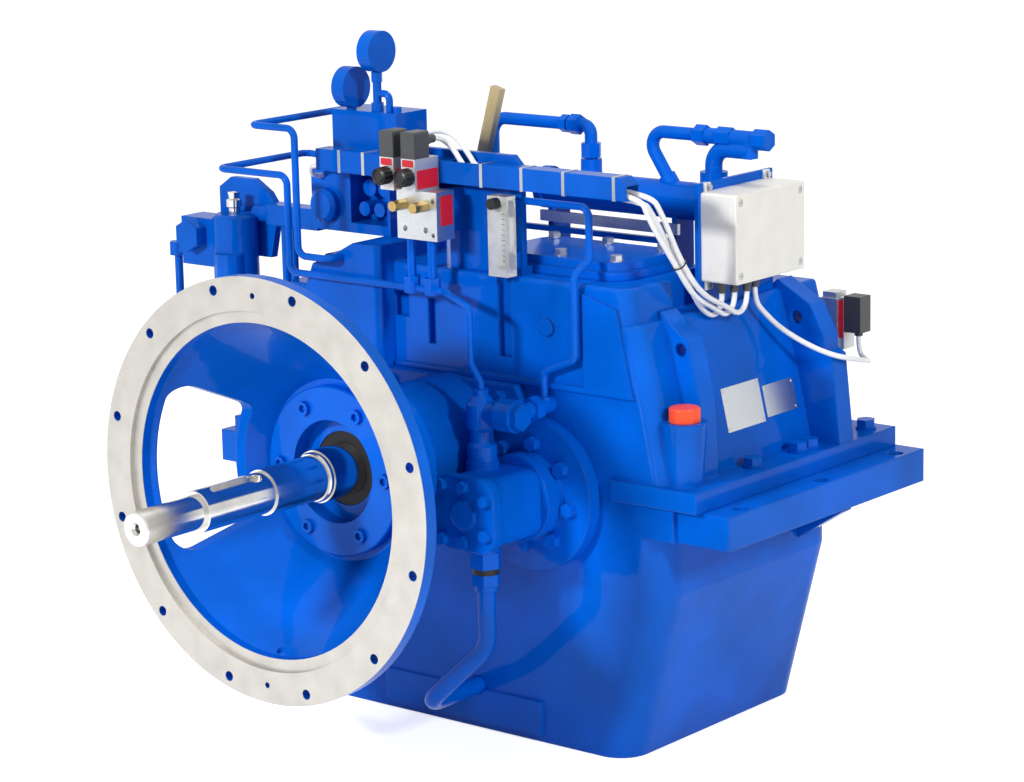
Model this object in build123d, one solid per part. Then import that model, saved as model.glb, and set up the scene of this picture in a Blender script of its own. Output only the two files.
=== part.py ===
from build123d import *
import os
from math import acos, atan2, cos, degrees, pi, radians, sin, sqrt, tan

# Marine reversing gearbox, in millimetres.
# The origin is the centre of the bell flange's front face, on the input shaft's axis.
# -Y points to the engine, +X to the right seen from the engine, +Z up.

# Clearances
seat = 0.3
running = 0.05
bolt_play = 0.4

# Bell housing
flange_radius = 280
flange_thickness = 20
flange_bolt_circle = 530.2
flange_bolt_count = 12
flange_bolt_hole = 13.5
flange_dowel_circle = 512
flange_dowel_hole = 8
pilot_radius = 236
pilot_depth = 6
throat_radius = 220
cone_wall = 13
hub_radius = 122
hub_front = 152
hub_plate = 28
neck_radius = 90
neck_step_radius = 118
neck_step_end = 210
foot_radius = 150
foot_thickness = 20
foot_bolt = 12
foot_bolt_angles = (35, 145, 180, 215, 250)
window_height = 244
window_inner_height = 154
window_margin = 8
window_end = 122
window_corner = 18
drain_hole = 9
drain_y = 27

# Bearing retainer in the bell's hub
retainer_radius = 114
retainer_thickness = 14
retainer_sink = 6
retainer_spigot = 82
retainer_bore = 69
retainer_screw_circle = 184
retainer_screw_count = 6
retainer_screw = 12
seal_radius = 50
seal_y = 164
seal_width = 12

# Case castings
case_front = 385
case_rear = 850
upper_rear = 799
case_corner = 24
split_height = -50
wall = 14
foot_half_width = 370
waist_step = 32
waist_half_width = foot_half_width - waist_step
waist_height = 88
deck_height = 185
deck_half_width = 312
brow_height = 232
brow_right = 300
brow_left = -232
brow_depth = 95
valve_seat_front = 355
valve_seat_right = -104
pad_right = 275
pad_rear = 590
ledge_overhang = 42
ledge_half_width = foot_half_width + ledge_overhang
ledge_top = -22
ledge_front = 378
filler_inset = 2
filler_x = foot_half_width - filler_inset
ledge_lug = 140
step_depth = 5
groove_depth = 12

# Sump
sump_step = 18
sump_half_width = foot_half_width - sump_step
sump_shoulder = -178
sump_floor = -410
sump_floor_half_width = 290
sump_front = 385
sump_rear = 786
sump_floor_rear = 786
sump_corner = 42
sump_pad_top = -352
sump_pad_bottom = -401
sump_pad_depth = 5

# Lifting and stiffening ribs on the case's sides
front_rib_y = 445
front_rib_thickness = 35
rear_rib_y = 712
rear_rib_thickness = 34
rib_reach = 6
lifting_hole = 18
lifting_hole_inset = 30
lifting_hole_z = 148

# Mount bars
bar_width = 84
bar_outer = foot_half_width + bar_width
bar_bottom = -96
bar_front = 392
bar_rear = 857
bar_hole_inset = 17
bar_hole_x = bar_outer - bar_hole_inset
bar_hole_y = (441, 626, 811)
bar_hole = 22

# Case bolts through the ledge into the bars
case_bolt = 16
case_bolt_inset = 15
case_bolt_x = foot_half_width + case_bolt_inset
case_bolt_y = (544, 649, 676, 816)

# Shaft centres and gears
gear_module = 6
pinion_teeth = 18
wheel_teeth = 54
transfer_teeth = 26
pressure_angle = 20
backlash = 0.25
output_centre_distance = gear_module * (pinion_teeth + wheel_teeth) / 2
transfer_distance = gear_module * transfer_teeth
output_z = -output_centre_distance
lay_z = -transfer_distance ** 2 / (2 * output_centre_distance)
lay_x = sqrt(transfer_distance ** 2 - lay_z ** 2)
transfer_gear_y = 425
transfer_gear_width = 42
clutch_y = 478
clutch_length = 78
clutch_radius = 66
pinion_y = 568
pinion_width = 84
wheel_y = 571
wheel_width = 78

# Input shaft
input_tip = -220
nose_radius = 22
nose_end = -118
drive_radius = 27.5
drive_end = 3
step_radius = 30
step_end = 98
collar_radius = 33.5
collar_end = 106
body_radius = 35
gear_seat_radius = 32
keyway_width = 16
keyway_depth = 6
keyway_start = -98
keyway_end = -8
keyway_angle = 22
centre_hole_radius = 5

# Bearings, as closed rings: outer radius and width
bearing_width = 34
input_bearing_y = 201
input_bearing_radius = 75
case_bearing_radius = 62
case_bearing_y = 387
rear_bearing_y = 812
lay_shaft_radius = 27.5
output_shaft_radius = 47.5
output_bearing_radius = 95
output_flange_radius = 125
output_flange_thickness = 26
output_flange_y = 905
output_bolt_circle = 200
output_bolt_count = 8
output_bolt_hole = 17

# Oil pump on the lay shaft's axis
adapter_radius = 105
adapter_thickness = 22
adapter_neck_radius = 60
adapter_bolt_circle = 144
adapter_bolt_count = 8
adapter_bolt = 12
pump_front = 230
pump_rear = 332
pump_half_width = 51
pump_half_height = 50
pump_cover = 16
pump_corner = 26
pump_bolt = 10

# Relief valve and pressure port above the pump
relief_x = 120
relief_y = 300
relief_base = 0
relief_top = 96
port_x = 169
port_z = 66

# Suction pipe from the pump into the sump
suction_x = 145
suction_y = 272
suction_pipe_radius = 12.5
suction_bend = 42
suction_inlet_x = 31
suction_inlet_z = -349

# Top bracket plate, duct, sight glass
plate_front = 400
plate_thickness = 10
plate_left = -90
plate_right = 114
plate_top = 392
duct_front = 372
duct_left = -229
duct_right = 310
duct_bottom = 351
duct_height = 30
duct_wall = 2
band_width = 5
band_thickness = 0.8
glass_left = 84
glass_width = 32
glass_depth = 20
glass_bottom = 234
glass_height = 108

# Control valve
valve_left = -284
valve_right = -137
valve_front = 420
valve_depth = 84
valve_bottom = 258
valve_height = 90
head_left = -240
head_right = -121
head_top = 430

# Gauges
gauge_radius = 28.5
gauge_depth = 22
gauge_y = 432
upper_gauge_x = -165
upper_gauge_z = 513
lower_gauge_x = -214
lower_gauge_z = 461

# Pressure switches and test block
block_left = -48
block_width = 70
block_front = 334
block_depth = 36
block_bottom = 278
block_height = 66
switch_width = 24
switch_depth = 48
switch_front = 322
switch_x = (-54, -16)
needle_x = (-34, 2)
needle_z = 325

# Oil cooler
cooler_radius = 26
cooler_y = 640
cooler_z = 308
cooler_left = -38
cooler_right = 280
cooler_pipe_radius = 9

# Junction box
box_x = 304
box_depth = 57
box_front = 542
box_width = 160
box_bottom = 220
box_height = 120
box_plate = 6

# Cables
cable_radius = 3.7
gland_length = 16
rear_plug_x = 371
rear_plug_y = 819

# Control pipes
pipe_radius = 5


def box(x0, x1, y0, y1, z0, z1):
    """A block between two corners."""
    return Pos((x0 + x1) / 2, (y0 + y1) / 2, (z0 + z1) / 2) * Box(x1 - x0, y1 - y0, z1 - z0)


def outline(points):
    """A flat face from X, Z points, on the plane Y = 0."""
    return Plane.XZ * make_face(Polyline(*points, close=True))


def prism(points, y0, y1):
    """An outline of X, Z points, drawn out along Y."""
    return Pos(0, y0, 0) * extrude(outline(points), amount=-(y1 - y0))


def disc(x, z, radius, y0, y1):
    """A cylinder along Y."""
    return Pos(x, (y0 + y1) / 2, z) * Rot(90, 0, 0) * Cylinder(radius, y1 - y0)


def ring(x, z, outer, inner, y0, y1):
    """A ring along Y."""
    return disc(x, z, outer, y0, y1) - disc(x, z, inner, y0 - 1, y1 + 1)


def rod(start, end, radius):
    """A cylinder from one point to another."""
    line = Vector(*end) - Vector(*start)
    plane = Plane(origin=start, z_dir=line)
    return extrude(plane * Circle(radius), amount=line.length)


def nut(start, end, across_flats):
    """A hexagonal prism from one point to another."""
    line = Vector(*end) - Vector(*start)
    plane = Plane(origin=start, z_dir=line)
    return extrude(plane * RegularPolygon(across_flats / 2, 6, major_radius=False), amount=line.length)


def turned(profile, x=0, z=0):
    """A body of revolution about a line along Y, from radius, Y points."""
    face = make_face(Polyline(*profile, close=True))
    return Pos(x, 0, z) * revolve(face, Axis.Y, 360)


def tube(points, radius, bends):
    """A round bar along straight runs joined by arcs."""
    path = FilletPolyline(*points, radius=bends)
    return sweep(Plane(origin=path @ 0, z_dir=path % 0) * Circle(radius), path=path)


def on_circle(diameter, count, first=0):
    """X, Z places of evenly spaced holes on a circle."""
    step = 360 / count
    return [
        (diameter / 2 * cos(radians(first + i * step)), diameter / 2 * sin(radians(first + i * step)))
        for i in range(count)
    ]


def hex_bolt(point, direction, size, grip):
    """A hexagon bolt with its washer; the point is on the surface that it clamps."""
    p = Vector(*point)
    d = Vector(*direction)
    washer = rod(p, p + d * size * 0.18, size * 0.9)
    head = nut(p + d * size * 0.18, p + d * size * 0.85, size * 1.5)
    shank = rod(p - d * grip, p + d * size * 0.3, size / 2)
    return washer + head + shank


def socket_screw(point, direction, size, grip):
    """A socket-head screw whose head stands on the surface at the point."""
    p = Vector(*point)
    d = Vector(*direction)
    head = rod(p, p + d * size, size * 0.75)
    socket = nut(p + d * size * 0.5, p + d * (size + 1), size * 0.8)
    return head - socket + rod(p - d * grip, p + d * size * 0.3, size / 2)


def bolt_hole(point, direction, size, grip):
    """The hole that a bolt's shank takes."""
    p = Vector(*point)
    d = Vector(*direction)
    return rod(p - d * (grip + 2), p + d, size / 2 + bolt_play)


def mirrored(shape):
    """The same shape on the other side of the X = 0 plane."""
    return mirror(shape, about=Plane.YZ)


# Bell housing

def bell_housing():
    """The flanged bell: ring, windowed cone, bearing hub, neck and rear foot."""
    plate_rear = hub_front + hub_plate
    profile = [
        (pilot_radius, 0),
        (flange_radius, 0),
        (flange_radius, flange_thickness),
        (throat_radius + cone_wall + 5, flange_thickness),
        (hub_radius + cone_wall, hub_front + 4),
        (hub_radius + cone_wall, plate_rear),
        (neck_step_radius, plate_rear + 6),
        (neck_step_radius, neck_step_end),
        (neck_radius, neck_step_end + 4),
        (neck_radius, case_front - foot_thickness),
        (foot_radius, case_front - foot_thickness),
        (foot_radius, case_front),
        (input_bearing_radius - 6, case_front),
        (input_bearing_radius - 6, input_bearing_y + bearing_width),
        (input_bearing_radius + running, input_bearing_y + bearing_width),
        (input_bearing_radius + running, plate_rear),
        (retainer_spigot + running, plate_rear),
        (retainer_spigot + running, hub_front),
        (hub_radius, hub_front),
        (throat_radius, flange_thickness),
        (throat_radius, pilot_depth),
        (pilot_radius, pilot_depth),
    ]
    bell = turned(profile)
    bell -= bell_window() + mirrored(bell_window())
    bell -= foot_cuts()
    for x, z in on_circle(flange_bolt_circle, flange_bolt_count, 15):
        bell -= disc(x, z, flange_bolt_hole / 2, -1, flange_thickness + 1)
    for x, z in on_circle(flange_dowel_circle, 2, 90):
        bell -= disc(x, z, flange_dowel_hole / 2, -1, flange_thickness + 1)
    for x, z in on_circle(retainer_screw_circle, retainer_screw_count):
        bell -= bolt_hole((x, hub_front, z), (0, -1, 0), retainer_screw, 18)
    bell -= rod((0, drain_y, -throat_radius), (0, drain_y, -hub_radius), drain_hole / 2)
    return bell


def foot_cuts():
    """What the foot gives way to: the pump's flange and the front wall above the joint; and its bolt holes."""
    front = case_front - foot_thickness
    cuts = disc(lay_x, lay_z, adapter_radius + seat, front - 1, case_front + 1)
    cuts += box(-foot_radius, foot_radius, front - 1, case_front + 1, waist_height - seat, foot_radius)
    cuts -= disc(0, 0, neck_radius, front - 2, case_front + 2)
    cuts += box(-foot_radius, foot_radius, case_front - step_depth - seat, case_front + 1,
                waist_height - seat, foot_radius)
    for x, z in foot_bolt_places():
        cuts += disc(x, z, foot_bolt / 2 + bolt_play, front - 1, case_front + 1)
    return cuts


def foot_bolt_places():
    """X, Z places of the bolts in the bell's foot."""
    reach = (neck_radius + foot_radius) / 2
    return [(reach * cos(radians(a)), reach * sin(radians(a))) for a in foot_bolt_angles]


def foot_bolts():
    """Bolts that hold the bell's foot to the case."""
    front = case_front - foot_thickness
    return [hex_bolt((x, front, z), (0, -1, 0), foot_bolt, foot_thickness + wall - 2)
            for x, z in foot_bolt_places()]


def bell_window():
    """The opening in one side of the cone, which narrows towards the hub."""
    y0 = flange_thickness + window_margin
    top = window_height / 2
    end = window_inner_height / 2
    face = make_face(Polyline((y0, -top), (window_end, -end), (window_end, end), (y0, top), close=True))
    face = fillet(face.vertices(), window_corner)
    return extrude(Plane.YZ * face, amount=flange_radius)


def bearing_retainer():
    """The screwed disc that holds the front bearing and carries the shaft seal."""
    face_y = hub_front - retainer_thickness
    nose_y = hub_front + hub_plate
    shoulder = input_bearing_radius - 8
    retainer = turned([
        (retainer_bore, face_y),
        (retainer_radius - 2, face_y),
        (retainer_radius, face_y + 2),
        (retainer_radius, hub_front),
        (retainer_spigot, hub_front),
        (retainer_spigot, nose_y),
        (input_bearing_radius, nose_y),
        (input_bearing_radius, input_bearing_y),
        (shoulder, input_bearing_y),
        (shoulder, seal_y + seal_width + 6),
        (seal_radius - 4, seal_y + seal_width + 6),
        (seal_radius - 4, seal_y + seal_width),
        (seal_radius, seal_y + seal_width),
        (seal_radius, seal_y - 2),
        (retainer_bore, seal_y - 2),
    ])
    for x, z in on_circle(retainer_screw_circle, retainer_screw_count):
        retainer -= disc(x, z, retainer_screw / 2 + bolt_play, face_y - 1, hub_front + 1)
        retainer -= disc(x, z, retainer_screw * 0.75 + bolt_play, face_y - 1, face_y + retainer_sink)
    return retainer


def retainer_screws():
    """Six socket-head screws, half sunk in the retainer."""
    seat_y = hub_front - retainer_thickness + retainer_sink
    return [
        socket_screw((x, seat_y, z), (0, -1, 0), retainer_screw, retainer_thickness - retainer_sink + 16)
        for x, z in on_circle(retainer_screw_circle, retainer_screw_count)
    ]


# Castings of the case

def side_outline(top, half_width_top):
    """The case's front outline from the split line to a flat top."""
    return [
        (-foot_half_width, split_height),
        (foot_half_width, split_height),
        (waist_half_width, waist_height),
        (half_width_top, top),
        (-half_width_top, top),
        (-waist_half_width, waist_height),
    ]


def shaft_bores():
    """Bores for the bearings and shafts through the walls of both castings."""
    bores = []
    for x, z in ((0, 0), (lay_x, lay_z)):
        bores.append(disc(x, z, case_bearing_radius + running, case_front - 5, case_bearing_y + bearing_width + 1))
        bores.append(disc(x, z, case_bearing_radius + running, rear_bearing_y, case_rear + 1))
        bores.append(disc(x, z, case_bearing_radius - 8, rear_bearing_y - 40, rear_bearing_y + 1))
    bores.append(disc(0, output_z, output_bearing_radius + running, case_bearing_y + wall, case_rear + 60))
    return bores


def bearing_bosses():
    """Bosses round the bearings of the input and lay shafts, inside both end walls."""
    bosses = Part()
    for x, z in ((0, 0), (lay_x, lay_z)):
        bosses += disc(x, z, case_bearing_radius + 12, case_front + wall - 1, case_bearing_y + bearing_width)
        bosses += disc(x, z, case_bearing_radius + 12, upper_rear - wall, case_rear)
    return bosses


def case_block():
    """The upper half's plain form, before its fillets and additions."""
    return prism(side_outline(deck_height, deck_half_width), case_front, upper_rear)


def upper_case():
    """The upper half of the case, with its ribs, ledge, brow and filler neck."""
    body = case_block()
    body = fillet(upright_front_edges(body), case_corner)
    body = fillet(body.edges().filter_by(Axis.Y).group_by(Axis.Z)[-1], 6)
    body += brow_block()
    body += box(brow_left + 60, pad_right, case_front + 10, pad_rear, deck_height - 20, brow_height)
    body += box(-ledge_half_width, ledge_half_width, case_front, case_rear, split_height, ledge_top)
    for side in (1, -1):
        lug = ledge_half_width - ledge_lug / 2
        body += Pos(side * lug, 0, 0) * box(-ledge_lug / 2, ledge_lug / 2, ledge_front, case_front, split_height, ledge_top)
    body += side_ribs() + mirrored(side_ribs())
    body += valve_seat()
    body += filler_neck()
    body -= case_hollow()
    body += bearing_bosses() & box(-foot_half_width, foot_half_width, case_front, case_rear, split_height, deck_height)
    body -= cover_opening()
    body -= front_grooves()
    body += front_details()
    for bore in shaft_bores():
        body -= bore
    for x, z in foot_bolt_places():
        if z > split_height:
            body -= disc(x, z, foot_bolt / 2 + bolt_play, case_front - 1, case_front + wall - 1)
    for point in case_bolt_points():
        body -= bolt_hole(point, (0, 0, 1), case_bolt, ledge_top - split_height)
    return body


def upright_front_edges(body):
    """The front edges of a block that run up its two sides."""
    front = body.edges().group_by(Axis.Y)[0]
    return front.filter_by(lambda edge: abs(edge.tangent_at(0.5).Z) > 0.9)


def brow_block():
    """The raised front part of the deck, rounded at its right-hand corner."""
    brow = prism([
        (brow_left, waist_height),
        (deck_half_width, waist_height),
        (brow_right, brow_height),
        (brow_left, brow_height),
    ], case_front, case_front + brow_depth)
    right = upright_front_edges(brow).group_by(Axis.X)[-1]
    brow = fillet(right, case_corner)
    return fillet(brow.edges().group_by(Axis.Z)[-1], 5)


def case_hollow():
    """The space for the gears inside the upper half."""
    inner = offset(outline(side_outline(deck_height, deck_half_width)), amount=-wall)
    hollow = extrude(inner, amount=-(upper_rear - case_front - 2 * wall))
    hollow = Pos(0, case_front + wall, 0) * hollow
    below = box(
        -foot_half_width + wall, foot_half_width - wall,
        case_front + wall, case_rear - wall,
        split_height - 1, split_height + wall,
    )
    return hollow + below


def cover_opening():
    """The inspection hole in the deck."""
    return box(70, 220, 455, 535, deck_height - wall - 1, brow_height + 40)


def valve_seat():
    """The raised boss at the top left that carries the control valve."""
    points = [
        (-250, waist_height),
        (-246, 178),
        (-226, 223),
        (-186, 239),
        (-150, valve_bottom),
        (valve_seat_right, valve_bottom),
        (valve_seat_right, waist_height),
    ]
    seat_block = prism(points, valve_seat_front, case_front + brow_depth + 20)
    edges = seat_block.edges().filter_by(Axis.Z).group_by(Axis.Y)[0]
    return fillet(edges, 10)


def filler_neck():
    """The oil filler's neck, cast on the right-hand ledge."""
    neck = Cone(24, 29.5, 84, align=(Align.CENTER, Align.CENTER, Align.MIN))
    bore = Cylinder(14, 84, align=(Align.CENTER, Align.CENTER, Align.MIN))
    neck -= Pos(0, 0, 44) * bore
    return Pos(filler_x, 415, ledge_top) * neck


def side_ribs():
    """Both lifting ribs on the right-hand side, with a lifting hole in line through both."""
    foot = foot_half_width
    front_rib = [
        (foot - 70, ledge_top), (foot + rib_reach, ledge_top), (foot + 1, 81), (foot - 18, 160),
        (foot - 64, 196), (foot - 80, 120),
    ]
    rear_rib = [
        (foot - 70, ledge_top - 1), (foot + ledge_overhang - 1, ledge_top - 1), (foot + 28, 100),
        (foot + 16, 106), (foot + 16, 124), (foot - 8, 168), (foot - 62, 198), (foot - 90, 172),
    ]
    ribs = prism(front_rib, front_rib_y, front_rib_y + front_rib_thickness)
    ribs += prism(rear_rib, rear_rib_y, rear_rib_y + rear_rib_thickness)
    hole_x = foot - lifting_hole_inset
    return ribs - disc(hole_x, lifting_hole_z, lifting_hole / 2, front_rib_y - 1, upper_rear)


def front_grooves():
    """Upright grooves and a pocket in the front wall."""
    y0 = case_front - 1
    cuts = box(81, 104, y0, case_front + groove_depth, 121, brow_height + 1)
    cuts += box(-42, -29, y0, case_front + groove_depth, 125, 188)
    cuts += box(-102, -77, y0, case_front + groove_depth, 158, 192)
    return cuts


def front_details():
    """The lip over the joint line, the panel's edge and the round plug."""
    lip = box(-100, waist_half_width - case_corner - 4, case_front - step_depth, case_front, waist_height, waist_height + 8)
    panel = prism(
        [(228, waist_height), (310, waist_height), (284, 206), (228, 222)],
        case_front - step_depth, case_front,
    )
    return lip + panel + disc(166, 170, 12, case_front - 4, case_front)


def lower_case():
    """The lower half of the case with the tapered sump."""
    body = box(-sump_half_width, sump_half_width, sump_front, sump_rear, sump_shoulder, split_height)
    body = fillet(body.edges().filter_by(Axis.Z), sump_corner)
    body += sump_shape(0)
    body += box(-foot_half_width, foot_half_width, case_front, case_rear, bar_bottom, split_height)
    boss_rear = case_rear + 14
    body += disc(0, output_z, output_bearing_radius + 22, sump_floor_rear - 20, boss_rear)
    body -= box(
        -sump_half_width + wall, sump_half_width - wall,
        sump_front + wall, sump_rear - wall, sump_shoulder - 1, split_height + 1,
    )
    body -= sump_shape(wall)
    bosses = bearing_bosses()
    bosses += disc(0, output_z, output_bearing_radius + 16, case_front, case_bearing_y + wall + bearing_width)
    bosses += disc(0, output_z, output_bearing_radius + 16, rear_bearing_y - 22, boss_rear)
    body += bosses & box(-foot_half_width, foot_half_width, case_front, boss_rear, sump_floor, split_height)
    body += box(-135, 145, case_front - sump_pad_depth, case_front, sump_pad_bottom, sump_pad_top)
    for bore in shaft_bores():
        body -= bore
    for x, z in foot_bolt_places():
        if z < split_height:
            body -= disc(x, z, foot_bolt / 2 + bolt_play, case_front - 1, case_front + wall - 1)
    for x, z in cover_screw_places():
        body -= disc(x, z, 5 + bolt_play, boss_rear - 16, boss_rear + 1)
    body -= disc(suction_inlet_x, suction_inlet_z, suction_pipe_radius + seat, case_front - 10, case_front + wall)
    return body


def sump_shape(inset):
    """The tapered lower part of the sump, or its hollow when inset by the wall."""
    depth = sump_rear - sump_front - 2 * inset
    floor_depth = sump_floor_rear - sump_front - 2 * inset
    top = Plane.XY.offset(sump_shoulder) * Pos(0, (sump_front + sump_rear) / 2) * RectangleRounded(
        2 * (sump_half_width - inset), depth, sump_corner - inset
    )
    floor = Plane.XY.offset(sump_floor + inset) * Pos(0, (sump_front + sump_floor_rear) / 2) * RectangleRounded(
        2 * (sump_floor_half_width - inset), floor_depth, sump_corner - inset
    )
    return loft([top, floor])


def case_bolt_points():
    """Places of the bolts through the ledge."""
    return [(side * case_bolt_x, y, ledge_top) for side in (1, -1) for y in case_bolt_y]


def mount_bar():
    """The right-hand mounting bar under the ledge."""
    bar = box(foot_half_width, bar_outer, bar_front, bar_rear, bar_bottom, split_height)
    for y in bar_hole_y:
        bar -= rod((bar_hole_x, y, bar_bottom - 1), (bar_hole_x, y, split_height + 1), bar_hole / 2)
    for x, y, z in case_bolt_points():
        bar -= bolt_hole((x, y, z), (0, 0, 1), case_bolt, ledge_top - split_height + 20)
    gusset = [
        (foot_half_width, bar_bottom), (bar_outer - 30, bar_bottom), (bar_outer - 30, bar_bottom - 16),
        (sump_half_width + seat, sump_shoulder + 20), (sump_half_width + seat, bar_bottom),
    ]
    return bar + prism(gusset, sump_rear - 90, sump_rear - 66)


def case_bolts():
    """Bolts through the ledge, and those of the output bearing cover."""
    bolts = [hex_bolt(p, (0, 0, 1), case_bolt, ledge_top - split_height + 18) for p in case_bolt_points()]
    cover_face = case_rear + 14 + 16
    for x, z in cover_screw_places():
        bolts.append(hex_bolt((x, cover_face, z), (0, 1, 0), 10, 30))
    return bolts


def cover_screw_places():
    """X, Z places of the screws in the output bearing's cover."""
    return [(x, z + output_z) for x, z in on_circle(2 * output_bearing_radius + 22, 6, 30)]


def output_cover():
    """The ring that closes the output bearing's bore at the rear."""
    face = case_rear + 14
    cover = ring(0, output_z, output_bearing_radius + 22, output_shaft_radius + running, face, face + 16)
    for x, z in cover_screw_places():
        cover -= disc(x, z, 5 + bolt_play, face - 1, face + 17)
    return cover


def rear_covers():
    """Covers over the rear bearings: two closed ones and the output shaft's ring."""
    covers = [disc(x, z, case_bearing_radius + 9, case_rear, case_rear + 10)
              for x, z in ((0, 0), (lay_x, lay_z))]
    return covers + [output_cover()]


def inspection_cover():
    """The plate over the inspection hole in the deck."""
    plate = Pos(145, 495, brow_height + 12) * extrude(RectangleRounded(225, 135, 34), amount=12)
    pad = Pos(145, 495, brow_height) * extrude(RectangleRounded(235, 145, 38), amount=12)
    for x, y in cover_bolt_places():
        plate -= rod((x, y, brow_height), (x, y, brow_height + 30), 5 + bolt_play)
        pad -= rod((x, y, brow_height + 2), (x, y, brow_height + 30), 5 + bolt_play)
    return [plate, pad]


def cover_bolt_places():
    """X, Y places of the inspection cover's bolts."""
    return [(x, y) for x in (52, 145, 238) for y in (444, 546)]


def inspection_bolts():
    """Zinc-plated bolts of the inspection cover."""
    top = brow_height + 24
    return [hex_bolt((x, y, top), (0, 0, 1), 10, 18) for x, y in cover_bolt_places()]


# Shafts, gears, bearings and clutches

def input_shaft():
    """The stepped input shaft with its keyway and centre hole."""
    profile = [
        (0, input_tip),
        (nose_radius - 2, input_tip),
        (nose_radius, input_tip + 2),
        (nose_radius, nose_end),
        (drive_radius - 1, nose_end),
        (drive_radius, nose_end + 1),
        (drive_radius, drive_end),
        (step_radius, drive_end),
        (step_radius, step_end),
        (collar_radius - 2, step_end),
        (collar_radius, step_end + 2),
        (collar_radius, collar_end),
        (body_radius, collar_end),
        (body_radius, case_bearing_y + bearing_width),
        (gear_seat_radius, case_bearing_y + bearing_width),
        (gear_seat_radius, rear_bearing_y + bearing_width - 4),
        (0, rear_bearing_y + bearing_width - 4),
    ]
    shaft = turned(profile)
    centre = turned([(0, input_tip - 1), (centre_hole_radius + 4, input_tip - 1),
                     (centre_hole_radius, input_tip + 4), (centre_hole_radius, input_tip + 18),
                     (0, input_tip + 22)])
    return shaft - centre - keyway()


def keyway():
    """The sled-runner keyway in the upper side of the drive end."""
    middle = (keyway_start + keyway_end) / 2
    slot = SlotOverall(keyway_end - keyway_start, keyway_width, rotation=90)
    cut = extrude(Plane.XY.offset(drive_radius - keyway_depth) * Pos(0, middle) * slot, amount=keyway_depth + 5)
    return Rot(0, keyway_angle, 0) * cut


def tooth_half_angle(radius, teeth):
    """Half the angle of a tooth at a radius, from the involute."""
    pitch = gear_module * teeth / 2
    base = pitch * cos(radians(pressure_angle))
    at_pitch = pi / (2 * teeth) - backlash / (2 * pitch)
    local = acos(min(1, base / radius))
    flank = radians(pressure_angle)
    return at_pitch + (tan(flank) - flank) - (tan(local) - local)


def gear(teeth, width, bore, first_tooth):
    """A spur gear along Y from Y = 0; first_tooth is a tooth's angle in degrees from +X to +Z."""
    pitch = gear_module * teeth / 2
    base = pitch * cos(radians(pressure_angle))
    root = pitch - 1.25 * gear_module
    tip = pitch + 0.95 * gear_module
    flank_start = max(root + 1.2, base)
    points = []
    for i in range(teeth):
        middle = radians(first_tooth + 360 * i / teeth)
        rising = [(root, tooth_half_angle(flank_start, teeth) + 0.2 / teeth)]
        rising += [(r, tooth_half_angle(r, teeth)) for r in (flank_start, pitch + 1, tip)]
        for r, half in rising:
            points.append((r * cos(middle - half), r * sin(middle - half)))
        for r, half in reversed(rising):
            points.append((r * cos(middle + half), r * sin(middle + half)))
    return prism(points, 0, width) - disc(0, 0, bore, -1, width + 1)


def toward(x0, z0, x1, z1):
    """The angle in degrees from one X, Z place to another."""
    return degrees(atan2(z1 - z0, x1 - x0))


def input_gear():
    """The transfer gear fixed on the input shaft."""
    first = toward(0, 0, lay_x, lay_z)
    wheel = gear(transfer_teeth, transfer_gear_width, gear_seat_radius, first)
    return Pos(0, transfer_gear_y, 0) * wheel


def lay_gear():
    """The transfer gear fixed on the lay shaft."""
    first = toward(lay_x, lay_z, 0, 0) + 180 / transfer_teeth
    wheel = gear(transfer_teeth, transfer_gear_width, lay_shaft_radius, first)
    return Pos(lay_x, transfer_gear_y, lay_z) * wheel


def clutch(x, z, bore):
    """A multi-plate clutch drum with its ring of ribs and the ends of its plates."""
    drum = ring(x, z, clutch_radius, bore, clutch_y, clutch_y + clutch_length)
    for i in range(4):
        y0 = clutch_y + 30 + 10 * i
        drum -= ring(x, z, clutch_radius + 1, clutch_radius - 6, y0, y0 + 4)
    return drum


def ahead_pinion():
    """The pinion that the ahead clutch holds to the input shaft."""
    wheel = gear(pinion_teeth, pinion_width, gear_seat_radius, -90)
    return Pos(0, pinion_y, 0) * wheel


def astern_pinion():
    """The pinion that turns freely on the lay shaft while the clutch ahead is engaged."""
    tooth_pitch = 360 / wheel_teeth
    to_lay = toward(0, output_z, lay_x, lay_z)
    ahead_phase = 90 + tooth_pitch / 2
    offset_angle = (to_lay - ahead_phase) % tooth_pitch
    back = toward(lay_x, lay_z, 0, output_z)
    first = back + offset_angle * wheel_teeth / pinion_teeth + 180 / pinion_teeth
    wheel = gear(pinion_teeth, pinion_width, lay_shaft_radius + running, first)
    return Pos(lay_x, pinion_y, lay_z) * wheel


def output_wheel():
    """The large wheel that both pinions drive."""
    wheel = gear(wheel_teeth, wheel_width, output_shaft_radius, 90 + 180 / wheel_teeth)
    recess = ring(0, 0, 138, 72, -1, 20) + ring(0, 0, 138, 72, wheel_width - 20, wheel_width + 1)
    wheel -= recess
    for x, z in on_circle(210, 6, 0):
        wheel -= disc(x, z, 20, -1, wheel_width + 1)
    return Pos(0, wheel_y, output_z) * wheel


def lay_shaft():
    """The lay shaft, which also drives the oil pump through its splined nose."""
    profile = [
        (0, pump_rear + 6),
        (12, pump_rear + 6),
        (12, case_front - 10),
        (lay_shaft_radius, case_front - 10),
        (lay_shaft_radius, rear_bearing_y + bearing_width - 4),
        (0, rear_bearing_y + bearing_width - 4),
    ]
    return turned(profile, lay_x, lay_z)


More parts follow.
